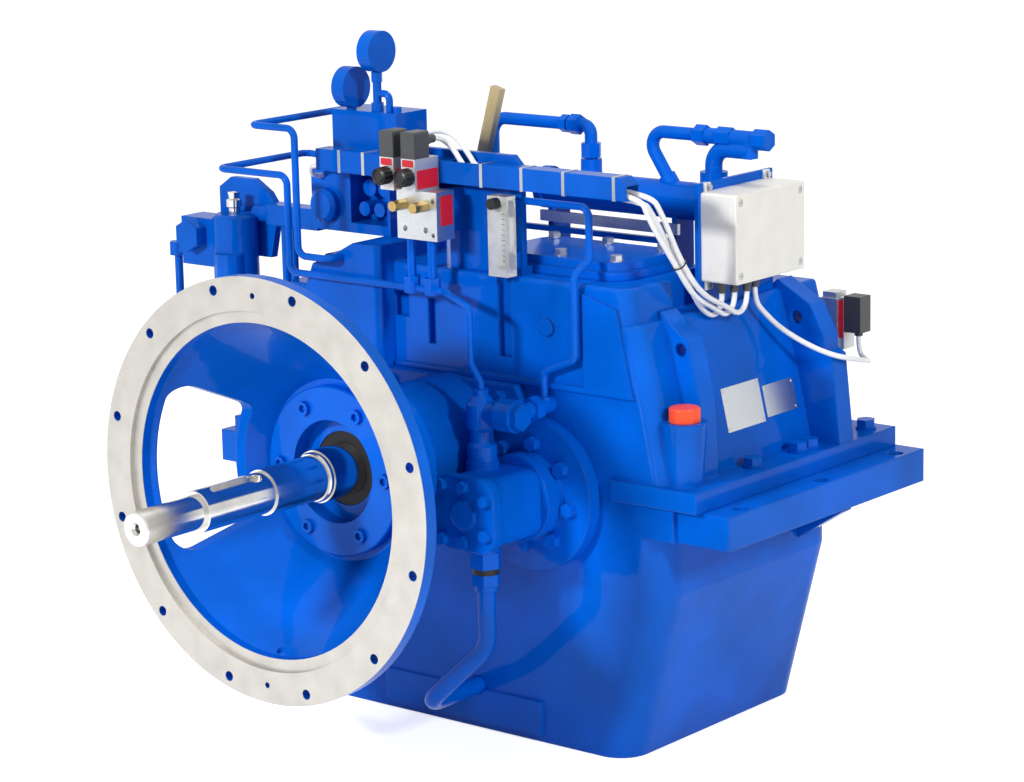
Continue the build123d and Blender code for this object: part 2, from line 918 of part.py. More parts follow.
def output_shaft():
    """The output shaft with its forged coupling flange."""
    front = case_bearing_y + wall + 2
    flange_end = output_flange_y + output_flange_thickness
    profile = [
        (0, front),
        (output_shaft_radius, front),
        (output_shaft_radius, output_flange_y - 12),
        (output_shaft_radius + 12, output_flange_y),
        (output_flange_radius, output_flange_y),
        (output_flange_radius, flange_end),
        (60, flange_end),
        (60, flange_end + 6),
        (0, flange_end + 6),
    ]
    shaft = turned(profile, 0, output_z)
    for x, z in on_circle(output_bolt_circle, output_bolt_count, 22.5):
        shaft -= disc(x, z + output_z, output_bolt_hole / 2, output_flange_y - 1, flange_end + 1)
    return shaft


def shaft_bearings():
    """Closed rings that stand for the rolling bearings of all three shafts."""
    rings = [ring(0, 0, input_bearing_radius, body_radius + running,
                  input_bearing_y, input_bearing_y + bearing_width)]
    rings.append(ring(0, 0, case_bearing_radius, body_radius + running,
                      case_bearing_y, case_bearing_y + bearing_width))
    rings.append(ring(lay_x, lay_z, case_bearing_radius, lay_shaft_radius + running,
                      case_bearing_y, case_bearing_y + bearing_width))
    for x, z, bore in ((0, 0, gear_seat_radius), (lay_x, lay_z, lay_shaft_radius)):
        rings.append(ring(x, z, case_bearing_radius, bore + running,
                          rear_bearing_y, rear_bearing_y + bearing_width))
    front = case_bearing_y + wall
    rings.append(ring(0, output_z, output_bearing_radius, output_shaft_radius + running,
                      front, front + bearing_width))
    rings.append(ring(0, output_z, output_bearing_radius, output_shaft_radius + running,
                      rear_bearing_y, rear_bearing_y + bearing_width + 16))
    return rings


def shaft_seals():
    """Lip seal round the input shaft in the retainer."""
    return ring(0, 0, seal_radius - running, body_radius + running, seal_y, seal_y + seal_width)


# Oil pump and its pipes

def pump_adapter():
    """The round flange between the case and the pump."""
    rear = case_front
    front = rear - adapter_thickness
    body = disc(lay_x, lay_z, adapter_radius, front, rear)
    body += disc(lay_x, lay_z, adapter_neck_radius, pump_rear, front)
    body -= disc(0, 0, neck_radius + seat, front - 40, rear + 1)
    body -= disc(lay_x, lay_z, 16, pump_rear - 1, rear + 1)
    body -= disc(lay_x, lay_z, lay_shaft_radius + 3, case_front - 12, rear + 1)
    for x, z in adapter_bolt_places():
        body -= disc(x, z, adapter_bolt / 2 + bolt_play, front - 1, rear + 1)
    return body


def adapter_bolt_places():
    """X, Z places of the adapter's bolts, without those that would stand in the bell's neck."""
    clear = neck_radius + adapter_bolt
    places = [(lay_x + x, lay_z + z) for x, z in on_circle(adapter_bolt_circle, adapter_bolt_count, 36)]
    return [(x, z) for x, z in places if sqrt(x ** 2 + z ** 2) > clear]


def pump_body():
    """The gear pump's body and its front cover."""
    plate = Plane.XZ * RectangleRounded(2 * pump_half_width, 2 * pump_half_height, pump_corner)
    split = pump_front + pump_cover
    cover = Pos(lay_x, pump_front, lay_z) * extrude(plate, amount=-pump_cover)
    middle = Plane.XZ * RectangleRounded(2 * pump_half_width - 8, 2 * pump_half_height - 8, pump_corner - 4)
    body = Pos(lay_x, split, lay_z) * extrude(middle, amount=-(pump_rear - split))
    body += rod((relief_x, relief_y, lay_z + 30), (relief_x, relief_y, relief_base), 22)
    body -= disc(lay_x, lay_z, 13, pump_rear - 30, pump_rear + 1)
    cover += disc(lay_x, lay_z, 20, pump_front - 5, pump_front)
    for x, z in pump_bolt_places():
        cover -= disc(x, z, pump_bolt / 2 + bolt_play, pump_front - 1, split + 1)
        body -= disc(x, z, pump_bolt / 2 + bolt_play, split - 1, split + 14)
    return [cover, body]


def pump_bolt_places():
    """X, Z places of the six bolts in the pump's cover."""
    reach = pump_half_width - 14
    rise = pump_half_height - 13
    places = [(-reach, rise), (-reach, -rise), (0, rise), (0, -rise), (reach, rise - 14), (reach, 14 - rise)]
    return [(lay_x + x, lay_z + z) for x, z in places]


def pump_bolts():
    """Bolts of the pump's cover, of its adapter flange and of the bell's foot."""
    bolts = [hex_bolt((x, pump_front, z), (0, -1, 0), pump_bolt, pump_cover + 10)
             for x, z in pump_bolt_places()]
    front = case_front - adapter_thickness
    for x, z in adapter_bolt_places():
        bolts.append(hex_bolt((x, front, z), (0, -1, 0), adapter_bolt, adapter_thickness))
    return bolts + foot_bolts()


def pump_valve():
    """The relief valve's column above the pump and the round pressure port at its side."""
    x = relief_x
    y = relief_y
    base = relief_base
    column = turned_upright([
        (0, base), (20, base), (20, base + 20), (16, base + 26), (16, base + 40), (20, base + 46),
        (20, base + 76), (15, base + 82), (10, base + 88), (10, relief_top), (0, relief_top),
    ], x, y)
    column += rod((x, y, port_z), (port_x - 14, y, port_z), 16)
    column += rod((port_x - 14, y, port_z), (port_x + 12, y, port_z), 22)
    column += nut((port_x + 12, y, port_z), (port_x + 22, y, port_z), 32)
    column += rod((port_x, y, port_z), (port_x, case_front, port_z), 11)
    column += nut((port_x, y + 40, port_z), (port_x, y + 56, port_z), 30)
    return column + rod((port_x, 372, port_z), (port_x, 372, port_z + 13), 9)


def suction_fitting():
    """The hexagonal union under the pump, with its black ring."""
    top = lay_z - pump_half_height + 4
    x, y = suction_x, suction_y
    union = rod((x, y, top), (x, y, top - 12), 19)
    union += nut((x, y, top - 12), (x, y, top - 34), 38)
    union += nut((x, y, top - 42), (x, y, top - 58), 34)
    union += rod((x, y, top - 34), (x, y, top - 66), 15.5)
    return union


def suction_pipe():
    """The pipe from the union down and into the front of the sump."""
    top = lay_z - pump_half_height + 4 - 66
    points = [
        (suction_x, suction_y, top),
        (suction_x, suction_y, top - 78),
        (suction_inlet_x, suction_y, suction_inlet_z),
        (suction_inlet_x, case_front + wall - 4, suction_inlet_z),
    ]
    return tube(points, suction_pipe_radius, [suction_bend, 34])


# Filler cap

def filler_cap():
    """The screw cap on the filler neck, with its short plug."""
    top = ledge_top + 84
    cap = Pos(filler_x, 415, top + seat) * extrude(RegularPolygon(21, 16, major_radius=True), amount=19)
    cap = fillet(cap.edges().group_by(Axis.Z)[-1], 3)
    plug = Pos(filler_x, 415, top - 20) * Cylinder(14 - running, 22, align=(Align.CENTER, Align.CENTER, Align.MIN))
    return cap + plug


# Bracket plate, duct and sight glass

def bracket_plate():
    """The upright plate on the front wall that carries the duct, switches and glass."""
    shape = [
        (-12, brow_height), (plate_right, brow_height), (plate_right, plate_top - 14),
        (plate_right - 14, plate_top), (plate_left, plate_top), (plate_left, block_bottom - 8),
        (-12, block_bottom - 8),
    ]
    rear = plate_front + plate_thickness
    plate = prism(shape, plate_front, rear)
    plate += box(-12, plate_right, rear, rear + 11, brow_height, brow_height + 10)
    plate += box(block_left + 8, block_left + block_width - 8, block_front + block_depth, plate_front,
                 block_bottom + 8, duct_bottom - 8)
    for low in (glass_bottom + 8, glass_bottom + glass_height - 30):
        plate += box(glass_left + 6, glass_left + glass_width - 6, duct_front + 13, plate_front, low, low + 22)
    return plate


def cable_duct():
    """The square cable duct, closed at its left end and chamfered at its right."""
    top = duct_bottom + duct_height
    points = [
        (duct_left, duct_bottom), (duct_right, duct_bottom), (duct_right, top - 9),
        (duct_right - 12, top), (duct_left, top),
    ]
    duct = prism(points, duct_front, plate_front)
    duct -= box(duct_left + duct_wall, duct_right + 1, duct_front + duct_wall, plate_front - duct_wall,
                duct_bottom + duct_wall, top - 9 - duct_wall)
    duct -= box(12, 60, duct_front + 3, plate_front - 3, top - 12, top + 1)
    duct -= rod((duct_left - 1, *duct_lane(0)), (duct_left + duct_wall + 1, *duct_lane(0)), cable_radius + seat)
    return duct


def duct_lane(lane):
    """Y, Z place of a cable in the duct: one low in the middle, two higher at the sides."""
    y = (duct_front + plate_front) / 2
    z = duct_bottom + duct_wall + cable_radius
    return [(y, z + 0.4), (y - 7.8, z + 6.8), (y + 7.8, z + 6.8)][lane]


def duct_bands():
    """Steel bands round the duct."""
    bands = []
    for x in (-188, -144, 66, 135, 205, 288):
        outer = box(x, x + band_width, duct_front - band_thickness, plate_front,
                    duct_bottom - band_thickness, duct_bottom + duct_height + band_thickness)
        inner = box(x - 1, x + band_width + 1, duct_front, plate_front + 1,
                    duct_bottom, duct_bottom + duct_height)
        bands.append(outer - inner)
    return bands


def sight_glass():
    """The clear flow indicator with its bore and end blocks."""
    y0 = duct_front + 13 - glass_depth
    body = box(glass_left, glass_left + glass_width, y0, y0 + glass_depth,
               glass_bottom, glass_bottom + glass_height)
    x = glass_left + glass_width / 2
    y = y0 + glass_depth / 2
    body -= rod((x, y, glass_bottom + 14), (x, y, glass_bottom + glass_height - 16), 5)
    body -= rod((x, y0 - 1, glass_bottom + glass_height - 9), (x, y, glass_bottom + glass_height - 9), 3)
    return body


def flow_float():
    """The float in the flow indicator's bore."""
    x = glass_left + glass_width / 2
    y = duct_front + 13 - glass_depth / 2
    low = glass_bottom + 14.3
    return rod((x, y, low), (x, y, low + 10), 4.7)


def glass_knob():
    """The black knob of the flow indicator's needle valve."""
    x = glass_left + glass_width / 2
    y0 = duct_front + 13 - glass_depth
    z = glass_bottom + glass_height - 9
    knob = disc(x, z, 7.5, y0 - 13, y0 - seat)
    return knob + disc(x, z, 3 - running, y0 - seat, y0 + 6)


# Control valve and gauges

def control_valve():
    """The control valve's body, with its head block and open spool bay."""
    rear = valve_front + valve_depth
    top = valve_bottom + valve_height
    body = box(valve_left, valve_right, valve_front, rear, valve_bottom, top)
    body -= box(valve_left + 74, valve_right - 6, valve_front - 1, valve_front + 40,
                valve_bottom + 14, top - 8)
    for x in (valve_left + 92, valve_left + 120):
        body += rod((x, valve_front + 8, valve_bottom + 34), (x, valve_front + 45, valve_bottom + 34), 10)
        body += rod((x, valve_front + 20, valve_bottom + 62), (x, valve_front + 45, valve_bottom + 62), 12)
    head = box(head_left, head_right, valve_front, rear - 20, top, head_top)
    head += rod((head_right - 10, valve_front + 14, head_top), (head_right - 10, valve_front + 14, head_top + 8), 6)
    foot = box(valve_right - 1, plate_left + 2, valve_front + 50, rear - 8, valve_bottom, valve_bottom + 12)
    cap = turned([
        (0, valve_front - 16), (18, valve_front - 16), (24, valve_front - 10), (24, valve_front + 1),
        (0, valve_front + 1),
    ], valve_left + 30, valve_bottom + 36)
    return body + head + foot + cap


def gauge_fittings():
    """Stems and elbows that carry the two gauges on the valve's head."""
    y = gauge_y
    low_z = lower_gauge_z - gauge_radius
    up_z = upper_gauge_z - gauge_radius
    stem = rod((upper_gauge_x, y, head_top), (upper_gauge_x, y, up_z), 6)
    stem += nut((upper_gauge_x, y, up_z - 14), (upper_gauge_x, y, up_z), 14)
    stem += nut((upper_gauge_x, y, head_top), (upper_gauge_x, y, head_top + 12), 16)
    side = head_right - 22
    stem += tube([(upper_gauge_x + 3, y, head_top + 25), (side, y, head_top + 25), (side, y, head_top)], 5, [9])
    return [stem, rod((lower_gauge_x, y, head_top), (lower_gauge_x, y, low_z), 7)]


def gauge(x, z):
    """A round gauge case with its dial side facing -X."""
    case = rod((x - gauge_depth / 2, gauge_y, z), (x + gauge_depth / 2, gauge_y, z), gauge_radius)
    case -= rod((x - gauge_depth / 2 - 1, gauge_y, z), (x - gauge_depth / 2 + 9, gauge_y, z), gauge_radius - 3)
    case += rod((x - gauge_depth / 2 + 8, gauge_y, z), (x - gauge_depth / 2 + 12, gauge_y, z), 2)
    case += rod((x - gauge_depth / 2 + 4, gauge_y, z), (x - gauge_depth / 2 + 12, gauge_y, z), 1.5)
    return case


def pressure_gauges():
    """Both gauge cases."""
    return [gauge(upper_gauge_x, upper_gauge_z), gauge(lower_gauge_x, lower_gauge_z)]


def gauge_lenses():
    """The glass discs of both gauges."""
    lenses = []
    for x, z in ((upper_gauge_x, upper_gauge_z), (lower_gauge_x, lower_gauge_z)):
        front = x - gauge_depth / 2
        lenses.append(rod((front + 1, gauge_y, z), (front + 3, gauge_y, z), gauge_radius - 3))
    return lenses


def gauge_pointer(x, z):
    """A gauge's pointer on its spindle."""
    front = x - gauge_depth / 2
    hub = rod((front + 5, gauge_y, z), (front + 6.4, gauge_y, z), 4)
    hand = box(front + 5, front + 6, gauge_y - 1.2, gauge_y + 1.2, z - 19, z)
    hub += hand
    return hub - rod((front + 4, gauge_y, z), (front + 7.4, gauge_y, z), 1.5 + running)


# Switches and test block

def test_block():
    """The bright manifold that carries the switches and needle valves."""
    body = box(block_left, block_left + block_width, block_front, block_front + block_depth,
               block_bottom, block_bottom + block_height)
    for x in needle_x:
        body -= disc(x, needle_z, 4 + running, block_front - 1, block_front + 16)
        body -= disc(x, block_bottom + 14, 4, block_front - 1, block_front + 8)
    body -= disc(block_left + block_width - 7, block_bottom + 54, 3, block_front - 1, block_front + 8)
    body -= disc(block_left + block_width - 7, block_bottom + 8, 3, block_front - 1, block_front + 8)
    return body


def needle_valve(x):
    """A brass needle valve's spindle with its head."""
    head = disc(x, needle_z, 7, block_front - 26, block_front - 19)
    body = nut((x, block_front - 19, needle_z), (x, block_front - seat, needle_z), 13)
    return head + body + disc(x, needle_z, 4, block_front - seat, block_front + 15)


def pressure_switches():
    """Two pressure switches that stand on the test block."""
    top = block_bottom + block_height
    bodies = []
    for x in switch_x:
        left = x - switch_width / 2
        body = box(left, left + switch_width, switch_front, switch_front + switch_depth, top, top + 44)
        body += rod((x, switch_front - 13, top + 20), (x, switch_front, top + 20), 10.5)
        bodies.append(body)
    return bodies


def switch_plugs():
    """The grey connector plugs with their cable glands."""
    top = block_bottom + block_height + 44
    plugs = []
    for x in switch_x:
        left = x - switch_width / 2
        plug = box(left, left + switch_width, switch_front, switch_front + 30, top, top + 36)
        plug = fillet(plug.edges().filter_by(Axis.Y).group_by(Axis.Z)[-1], 3)
        gland_z = top + 22
        plug += nut((x, switch_front + 30, gland_z), (x, switch_front + 42, gland_z), 14)
        plug += rod((x, switch_front + 42, gland_z), (x, switch_front + 52, gland_z), 6)
        plugs.append(plug)
    return plugs


def thermometer():
    """The angled thermometer on its well in the deck."""
    base = (-10, 470, 368)
    top = (20, 470, 470)
    well = rod((-10, 470, brow_height), base, 9)
    body = rod(base, (-8, 470, 378), 13)
    line = Vector(*top) - Vector(*base)
    plane = Plane(origin=base, z_dir=line, x_dir=(0, 1, 0))
    case = extrude(plane * Rectangle(12, 17), amount=line.length)
    return [well + body, case]


# Oil cooler

def cooler_shell():
    """The cooler's tube with its end caps."""
    y, z = cooler_y, cooler_z
    shell = rod((cooler_left, y, z), (cooler_right, y, z), cooler_radius)
    for x in (cooler_left, cooler_right - 12):
        shell += rod((x, y, z), (x + 12, y, z), cooler_radius + 4)
    return shell


def cooler_bracket():
    """The two feet under the cooler and the rail that joins them."""
    parts = []
    for x in (cooler_left + 20, cooler_left + 236):
        foot = box(x, x + 8, cooler_y - 20, cooler_y + 20, deck_height, cooler_z - 4)
        foot -= rod((x - 1, cooler_y, cooler_z), (x + 9, cooler_y, cooler_z), cooler_radius)
        base = box(x - 12, x + 20, cooler_y - 20, cooler_y + 20, deck_height, deck_height + 8)
        parts.append(foot + base)
    bar = box(cooler_left - 24, cooler_left + 244, cooler_y - 28, cooler_y - 20, cooler_z - 58, cooler_z - 50)
    parts.append(bar)
    return parts


def cooler_rail():
    """The bright rail along the front of the cooler's feet."""
    return box(cooler_left + 10, cooler_left + 250, cooler_y - 26, cooler_y - 20,
               cooler_z - cooler_radius - 18, cooler_z - cooler_radius - 3)


def cooler_pipes():
    """The bent pipes, unions and elbows that feed the cooler from above."""
    y = cooler_y
    top = cooler_z + cooler_radius - 4
    run = cooler_z + 92
    shell = cooler_shell()
    x = 45
    left = tube([(x, y, top), (x, y, run), (x - 177, y, run), (x - 177, y, deck_height)],
                cooler_pipe_radius, [13, 24])
    left += rod((x, y, top), (x, y, top + 24), 15)
    left += nut((x, y, top + 26), (x, y, top + 46), 26)
    left += nut((x - 18, y, run), (x - 34, y, run), 25)
    left += nut((x - 38, y, run), (x - 50, y, run), 22)
    left += rod((x - 177, y, deck_height), (x - 177, y, deck_height + 16), 15)
    start = 183
    right = tube([(start, y, top), (start - 47, y, run), (start + 70, y, run)], cooler_pipe_radius, [19])
    right += rod((start + 3, y, top - 4), (start - 7, y, top + 10), 12)
    right += nut((start + 44, y, run), (start + 62, y, run), 25)
    right += rod((start + 60, y, run), (start + 152, y, run), 11)
    right += nut((start + 80, y, run), (start + 104, y, run), 24)
    right += nut((start + 140, y, run), (start + 164, y, run), 25)
    elbow = 255
    right += rod((elbow, y, top), (elbow, y, top + 22), 19)
    right += tube([(elbow, y, top + 20), (elbow, y, run - 16), (elbow + 62, y, run - 16)], 12, [24])
    right += rod((elbow + 60, y, run - 26), (elbow + 60, y, run), 11)
    return [left - shell, right - shell]


# Junction box and its cables

def box_bracket():
    """The upright plate on the deck that carries the junction box."""
    return box(box_x - box_plate, box_x, box_front - 6, box_front + box_width + 6,
               deck_height, box_bottom + box_height + 12)


def junction_box():
    """The box's hollow body with its four lugs."""
    wall_of_box = 3
    lid_x = box_x + box_depth - 12
    body = box(box_x, lid_x, box_front, box_front + box_width, box_bottom, box_bottom + box_height)
    body = fillet(body.edges().filter_by(Axis.X), 4)
    body -= box(box_x + wall_of_box, lid_x + 1,
                box_front + wall_of_box, box_front + box_width - wall_of_box,
                box_bottom + wall_of_box, box_bottom + box_height - wall_of_box)
    for y in (box_front + 12, box_front + box_width - 12):
        for low in (box_bottom - 12, box_bottom + box_height):
            lug = box(box_x, box_x + 4, y - 6, y + 6, low, low + 12)
            lug -= rod((box_x - 1, y, low + 6), (box_x + 5, y, low + 6), 2.5 + bolt_play)
            body += lug
    for x, y in gland_places():
        body -= rod((x, y, box_bottom - 1), (x, y, box_bottom + wall_of_box + 1), 5 + bolt_play)
    return body


def junction_lid():
    """The box's lid."""
    lid_x = box_x + box_depth - 12
    lid = box(lid_x, lid_x + 12, box_front, box_front + box_width, box_bottom, box_bottom + box_height)
    lid = fillet(lid.edges().filter_by(Axis.X), 4)
    lid = fillet(lid.edges().group_by(Axis.X)[-1], 1.5)
    for y, z in lid_screw_places():
        lid -= rod((lid_x + 9, y, z), (lid_x + 13, y, z), 5)
    return lid


def lid_screw_places():
    """Y, Z places of the lid's screws."""
    return [(y, z)
            for y in (box_front + 11, box_front + box_width - 11)
            for z in (box_bottom + 11, box_bottom + box_height - 11)]


def box_screws():
    """The lid's screws and those in the box's lugs."""
    lid_face = box_x + box_depth - 3
    screws = []
    for y, z in lid_screw_places():
        head = rod((lid_face, y, z), (lid_face + 2.6, y, z), 4.5)
        head -= box(lid_face + 1.4, lid_face + 3, y - 4, y + 4, z - 0.6, z + 0.6)
        screws.append(head)
    for y in (box_front + 12, box_front + box_width - 12):
        for z in (box_bottom - 6, box_bottom + box_height + 6):
            screws.append(hex_bolt((box_x + 4, y, z), (1, 0, 0), 5, 4))
    return screws


def gland_places():
    """X, Y places of the glands under the box: three of the bundle, one of the rear switch."""
    places = [(box_x + 19 + 9 * i, box_front + 20 + 16 * i) for i in range(3)]
    return places + [(box_x + 28, box_front + 83)]


def cable_glands():
    """The glands' nuts and necks."""
    glands = []
    for x, y in gland_places():
        gland = nut((x, y, box_bottom), (x, y, box_bottom - 8), 13)
        gland += rod((x, y, box_bottom - 8), (x, y, box_bottom - gland_length), 5.5)
        gland += rod((x, y, box_bottom), (x, y, box_bottom + 5), 5)
        glands.append(gland)
    return glands


def cord_bends(points):
    """An arc for each corner of a cord's route, as large as its two runs allow."""
    bends = []
    for a, b, c in zip(points, points[1:], points[2:]):
        first = Vector(*b) - Vector(*a)
        second = Vector(*c) - Vector(*b)
        turn = radians(first.get_angle(second))
        bends.append(0.45 * min(first.length, second.length) / tan(turn / 2))
    return bends


def cord(points, radius):
    """A cord along straight runs and arcs."""
    bends = cord_bends(points)
    print("bend radii", [round(b) for b in bends])
    return tube(points, radius, bends)


def cable_tail(lane):
    """The points from the duct's open end to a gland, for one of three lanes."""
    x, y = gland_places()[lane]
    aside, out = [(-4.3, 2.5), (0, -5), (4.3, 2.5)][lane]
    run_x = duct_right + 25
    duct_y, duct_z = duct_lane(lane)
    return [
        (duct_right + 17 + aside, duct_y, duct_z),
        (run_x + 1 + aside, duct_y + 14 + out, 328 + out / 2),
        (run_x + 2 + aside, 441 + 0.83 * out, 268 + 0.55 * out),
        (run_x + 1 + 1.5 * aside, 486 + 0.83 * out, 214 + 0.55 * out),
        (x, y - 47, 190),
        (x, y - 20, 174),
        (x, y, 186),
        (x, y, box_bottom - gland_length),
    ]


def switch_cables():
    """White cables from the control valve and both switches, through the duct to the box."""
    y = switch_front + 52
    z = block_bottom + block_height + 66
    first, second = switch_x
    left = duct_left
    low_y, low_z = duct_lane(0)
    front_y, high_z = duct_lane(1)
    rear_y = duct_lane(2)[0]
    leads = [
        [(left - 34, valve_front, 335), (left - 34, low_y + 18, 335), (left - 29, low_y + 5, 348), (left - 14, low_y, low_z)],
        [(second, y, z), (second, y + 14, z), (second + 18, y + 18, z - 12), (26, front_y + 3, high_z + 18),
         (44, front_y, high_z)],
        [(first, y, z), (first, y + 17, z), (first + 22, y + 27, z + 7), (first + 52, y + 26, z + 4),
         (28, rear_y - 1, high_z + 30), (50, rear_y - 0.6, high_z)],
    ]
    return [cord(lead + cable_tail(lane), cable_radius) for lane, lead in enumerate(leads)]


def rear_switch_cable():
    """The white cable from the box, round the rear rib, to the switch behind it."""
    x, y = gland_places()[3]
    points = [
        (x, y, box_bottom - gland_length),
        (x, y, 184),
        (338, 640, 165),
        (350, 659, 143),
        (368, 680, 124),
        (388, 697, 110),
        (407, 712, 101),
        (416, 735, 95),
        (415, 762, 88),
        (408, 788, 82),
        (394, 810, 76),
        (376, rear_plug_y, 79),
        (rear_plug_x, rear_plug_y, 92),
        (rear_plug_x, rear_plug_y, 108),
    ]
    return cord(points, cable_radius)


def rear_switch():
    """The pressure switch on the rear wall of the upper half."""
    y0 = upper_rear
    body = box(318, 348, y0, y0 + 34, 86, 160)
    body += box(322, 344, y0 + 4, y0 + 30, 160, 168)
    side = box(348, 357, y0 + 4, y0 + 30, 89, 162)
    return [body, side]


def rear_switch_plug():
    """The grey plug on the rear switch, with its gland."""
    y0 = upper_rear
    plug = box(357, 384, y0 + 4, y0 + 30, 114, 165)
    return plug + rod((rear_plug_x, rear_plug_y, 108), (rear_plug_x, rear_plug_y, 116), 6)


# Strainer and control pipes

def strainer():
    """The strainer's bowl, its side block, back plate and outlet manifold."""
    x, y = -437, 420
    bowl = turned_upright([(0, 148), (30, 148), (33, 152), (33, 262), (27, 266), (0, 266)], x, y)
    bowl += rod((x + 8, y - 20, 150), (x + 8, y - 20, 212), 22)
    side = box(x - 95, x - 30, y - 14, y + 30, 186, 256)
    side += nut((x - 66, y - 34, 232), (x - 66, y - 14, 232), 42)
    plate = prism([(x - 60, 200), (x + 40, 200), (x + 56, 270), (x + 38, 294), (x + 8, 312), (x - 36, 312),
                   (x - 60, 296)], y + 32, y + 44)
    outlet = box(x + 52, valve_left, y + 10, y + 40, valve_bottom - 6, valve_bottom + 24)
    outlet += rod((x + 20, y + 25, 265), (x + 60, y + 25, 265), 12)
    inlet = rod((x - 112, y - 6, 120), (x - 112, y - 6, 205), 6)
    inlet += nut((x - 112, y - 6, 196), (x - 112, y - 6, 216), 22)
    inlet += rod((x - 112, y - 6, 206), (x - 90, y - 6, 206), 8)
    return bowl + side + plate + outlet + inlet


def turned_upright(profile, x, y):
    """A body of revolution about an upright line, from radius, Z points."""
    face = Plane.XZ * make_face(Polyline(*profile, close=True))
    return Pos(x, y, 0) * revolve(face, Axis.Z, 360)


def strainer_knob():
    """The bright knob on top of the strainer."""
    return turned_upright([(0, 266.3), (8, 266.3), (8, 274), (11, 276), (11, 286), (7, 288), (9, 297), (0, 298)],
                          -437, 420)


def control_pipes():
    """Thin pipes between the valve, the switches, the duct and the pump."""
    top = valve_bottom + valve_height
    rear = valve_front + valve_depth
    first = tube([
        (-190, rear - 20, 413), (-190, 538, 413), (-312, 538, 413), (-312, 330, 413),
        (-229, 330, 413), (-229, 330, 237), (-172, 330, 237), (-172, case_front - 30, 237),
    ], pipe_radius, [14, 14, 14, 14, 14, 12])
    second = tube([
        (-260, rear, 330), (-260, 530, 330), (-392, 530, 344), (-392, 345, 344), (-260, 345, 344),
        (-260, 345, 209), (22, 345, 209), (103, 300, 203), (103, 300, 128), (relief_x, relief_y, relief_top + 8),
        (relief_x, relief_y, relief_top),
    ], pipe_radius, [12, 14, 14, 14, 14, 10, 12, 12, 10])
    third = tube([
        (plate_right, 405, 332), (223, 405, 332), (223, 405, 262), (223, 372, 246),
        (223, 372, 134), (port_x, 372, 112), (port_x, 372, port_z + 13),
    ], pipe_radius, [14, 12, 12, 14, 14])
    picks = []
    for x in needle_x:
        pick = rod((x, 345, 214), (x, 345, block_bottom), 6)
        pick += nut((x, 345, 203), (x, 345, 226), 20)
        picks.append(pick)
    drops = [tube([(x, 437, valve_bottom - 6), (x, 437, z), (-290, 437, z)], 6, [16]) - case_block()
             for x, z in ((-354, 112), (-338, 142))]
    return [first, second + picks[0] + picks[1], third] + drops


def side_plate(y0, y1, low, high):
    """A thin plate flat on the side wall, between two Y and two Z values."""
    slope = (foot_half_width - waist_half_width) / (waist_height - split_height)
    inner = [(waist_half_width + slope * (waist_height - z), z) for z in (low, high)]
    outer = [(x + 1, z) for x, z in reversed(inner)]
    return prism(inner + outer, y0, y1)


def name_plates():
    """Two bare plates on the side wall between the ribs."""
    return [side_plate(532, 618, 22, 80), side_plate(624, 696, 26, 68)]


parts = {
    "bell_housing": bell_housing,
    "bearing_retainer": bearing_retainer,
    "retainer_screws": retainer_screws,
    "upper_case": upper_case,
    "lower_case": lower_case,
    "case_bolts": case_bolts,
    "mount_bar_right": mount_bar,
    "mount_bar_left": lambda: mirrored(mount_bar()),
    "rear_bearing_covers": rear_covers,
    "inspection_cover": inspection_cover,
    "cover_screws": lambda: inspection_bolts() + box_screws(),
    "input_shaft": input_shaft,
    "input_gear": input_gear,
    "ahead_clutch": lambda: clutch(0, 0, gear_seat_radius),
    "ahead_pinion": ahead_pinion,
    "lay_shaft": lay_shaft,
    "lay_gear": lay_gear,
    "astern_clutch": lambda: clutch(lay_x, lay_z, lay_shaft_radius),
    "astern_pinion": astern_pinion,
    "output_shaft": output_shaft,
    "output_wheel": output_wheel,
    "shaft_bearings": shaft_bearings,
    "shaft_seals": shaft_seals,
    "pump_adapter": pump_adapter,
    "pump_body": pump_body,
    "flange_bolts": pump_bolts,
    "pump_valve": pump_valve,
    "suction_fitting": suction_fitting,
    "suction_pipe": suction_pipe,
    "filler_cap": filler_cap,
    "bracket_plate": bracket_plate,
    "cable_duct": cable_duct,
    "duct_bands": duct_bands,
    "sight_glass": sight_glass,
    "flow_float": flow_float,
    "glass_knob": glass_knob,
    "control_valve": control_valve,
    "gauge_fittings": gauge_fittings,
    "pressure_gauges": pressure_gauges,
    "gauge_lenses": gauge_lenses,
    "upper_gauge_pointer": lambda: gauge_pointer(upper_gauge_x, upper_gauge_z),
    "lower_gauge_pointer": lambda: gauge_pointer(lower_gauge_x, lower_gauge_z),
    "test_block": test_block,
    "left_needle_valve": lambda: needle_valve(needle_x[0]),
    "right_needle_valve": lambda: needle_valve(needle_x[1]),
    "pressure_switches": lambda: pressure_switches() + rear_switch(),
    "plugs_and_glands": lambda: switch_plugs() + [rear_switch_plug()] + cable_glands(),
    "thermometer": thermometer,
    "oil_cooler": cooler_shell,
    "deck_brackets": lambda: cooler_bracket() + [box_bracket()],
    "cooler_rail": cooler_rail,
    "cooler_pipes": cooler_pipes,
    "junction_box": junction_box,
    "junction_box_lid": junction_lid,
    "switch_cables": switch_cables,
    "rear_switch_cable": rear_switch_cable,
    "strainer": strainer,
    "strainer_knob": strainer_knob,
    "control_pipes": control_pipes,
    "name_plates": name_plates,
}


def main():
    """Write one file for each named piece."""
    os.makedirs("parts", exist_ok=True)
    for name, make in parts.items():
        shape = make()
        if isinstance(shape, (list, tuple)):
            shape = Compound(children=list(shape))
        shape.label = name
        export_step(shape, f"parts/{name}.step")


main()
